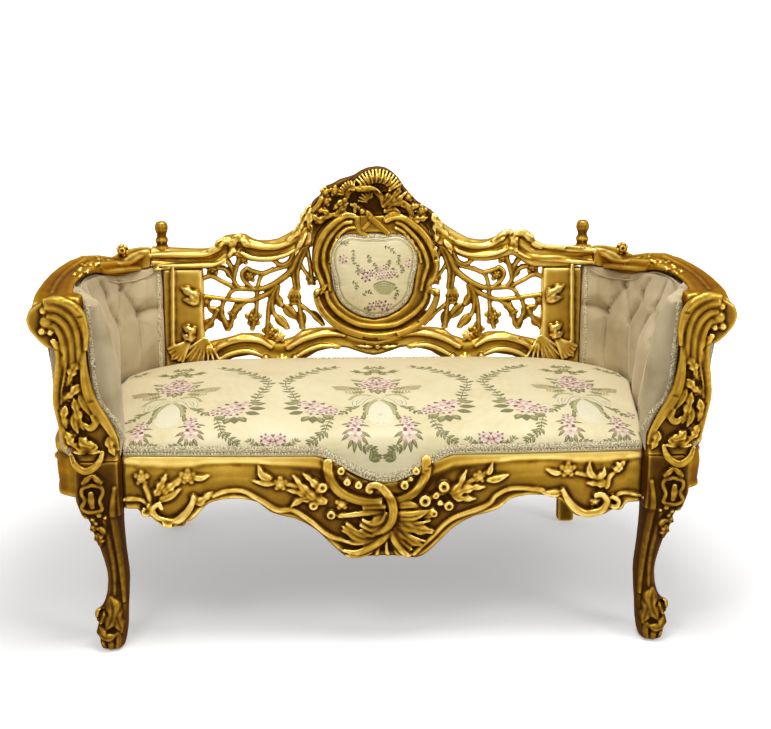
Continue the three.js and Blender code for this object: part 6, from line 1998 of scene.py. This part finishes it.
def floor_material():
    made, tree, shader, place = material("white_painted_floor")
    speck = node(tree, "ShaderNodeTexNoise", Vector=place, Scale=90.0, Detail=2.0)
    tint = node(tree, "ShaderNodeValToRGB", i0=speck, stops=[(0.3, "#F4F4F2"), (0.7, "#FAFAF9")])
    far = node(tree, "ShaderNodeVectorMath", {"operation": "LENGTH"}, i0=place)
    fade = node(tree, "ShaderNodeMapRange", {"interpolation_type": "SMOOTHSTEP"},
                Value=(far, "Value"), From_Min=0.9, From_Max=2.4, To_Min=0.3, To_Max=1.0)
    glow = node(tree, "ShaderNodeMath", {"operation": "MULTIPLY"}, i0=plain_sight(tree), i1=fade)
    feed(tree, shader, Base_Color=tint, Emission_Strength=glow, Emission_Color=linear("#FFFFFF"),
         Roughness=0.9, Specular_IOR_Level=0.1)
    return made


FLOOR_HALF = 14.0
corners = [(x * FLOOR_HALF, y * FLOOR_HALF, 0) for x, y in ((-1, -1), (1, -1), (1, 1), (-1, 1))]
floor_mesh = bpy.data.meshes.new("floor")
floor_mesh.from_pydata(corners, [], [(0, 1, 2, 3)])
floor_mesh.materials.append(floor_material())
floor = bpy.data.objects.new("floor", floor_mesh)
floor.location.z = cad_low[2] - 0.0004
bpy.context.scene.collection.objects.link(floor)

studio = bpy.data.worlds.new("white_surround")
bpy.context.scene.world = studio
studio.use_nodes = True
sky = studio.node_tree
level = node(sky, "ShaderNodeMapRange", Value=plain_sight(sky), To_Min=0.42, To_Max=1.0)
feed(sky, sky.nodes["Background"], Color=linear("#FFFFFF"), Strength=level)


def lamp(name, place, aim, size, watts):
    """A soft square lamp at a place in metres, turned to a point."""
    light = bpy.data.lights.new(name, "AREA")
    light.shape = "SQUARE"
    light.size = size
    light.energy = watts
    made = bpy.data.objects.new(name, light)
    made.location = place
    made.rotation_euler = (Vector(aim) - Vector(place)).to_track_quat("-Z", "Y").to_euler()
    bpy.context.scene.collection.objects.link(made)


lamp("front_left_softbox", (-1.3, -1.9, 3.1), (0, 0, 0.5), 1.0, 18)
lamp("right_fill", (2.4, -1.6, 2.2), (0, 0, 0.5), 0.9, 15)
lamp("overhead", (0.2, -0.4, 3.2), (0, 0, 0.5), 1.2, 56)

view = bpy.context.scene.view_settings
view.view_transform = "Standard"
print("lamps", len(bpy.data.lights))
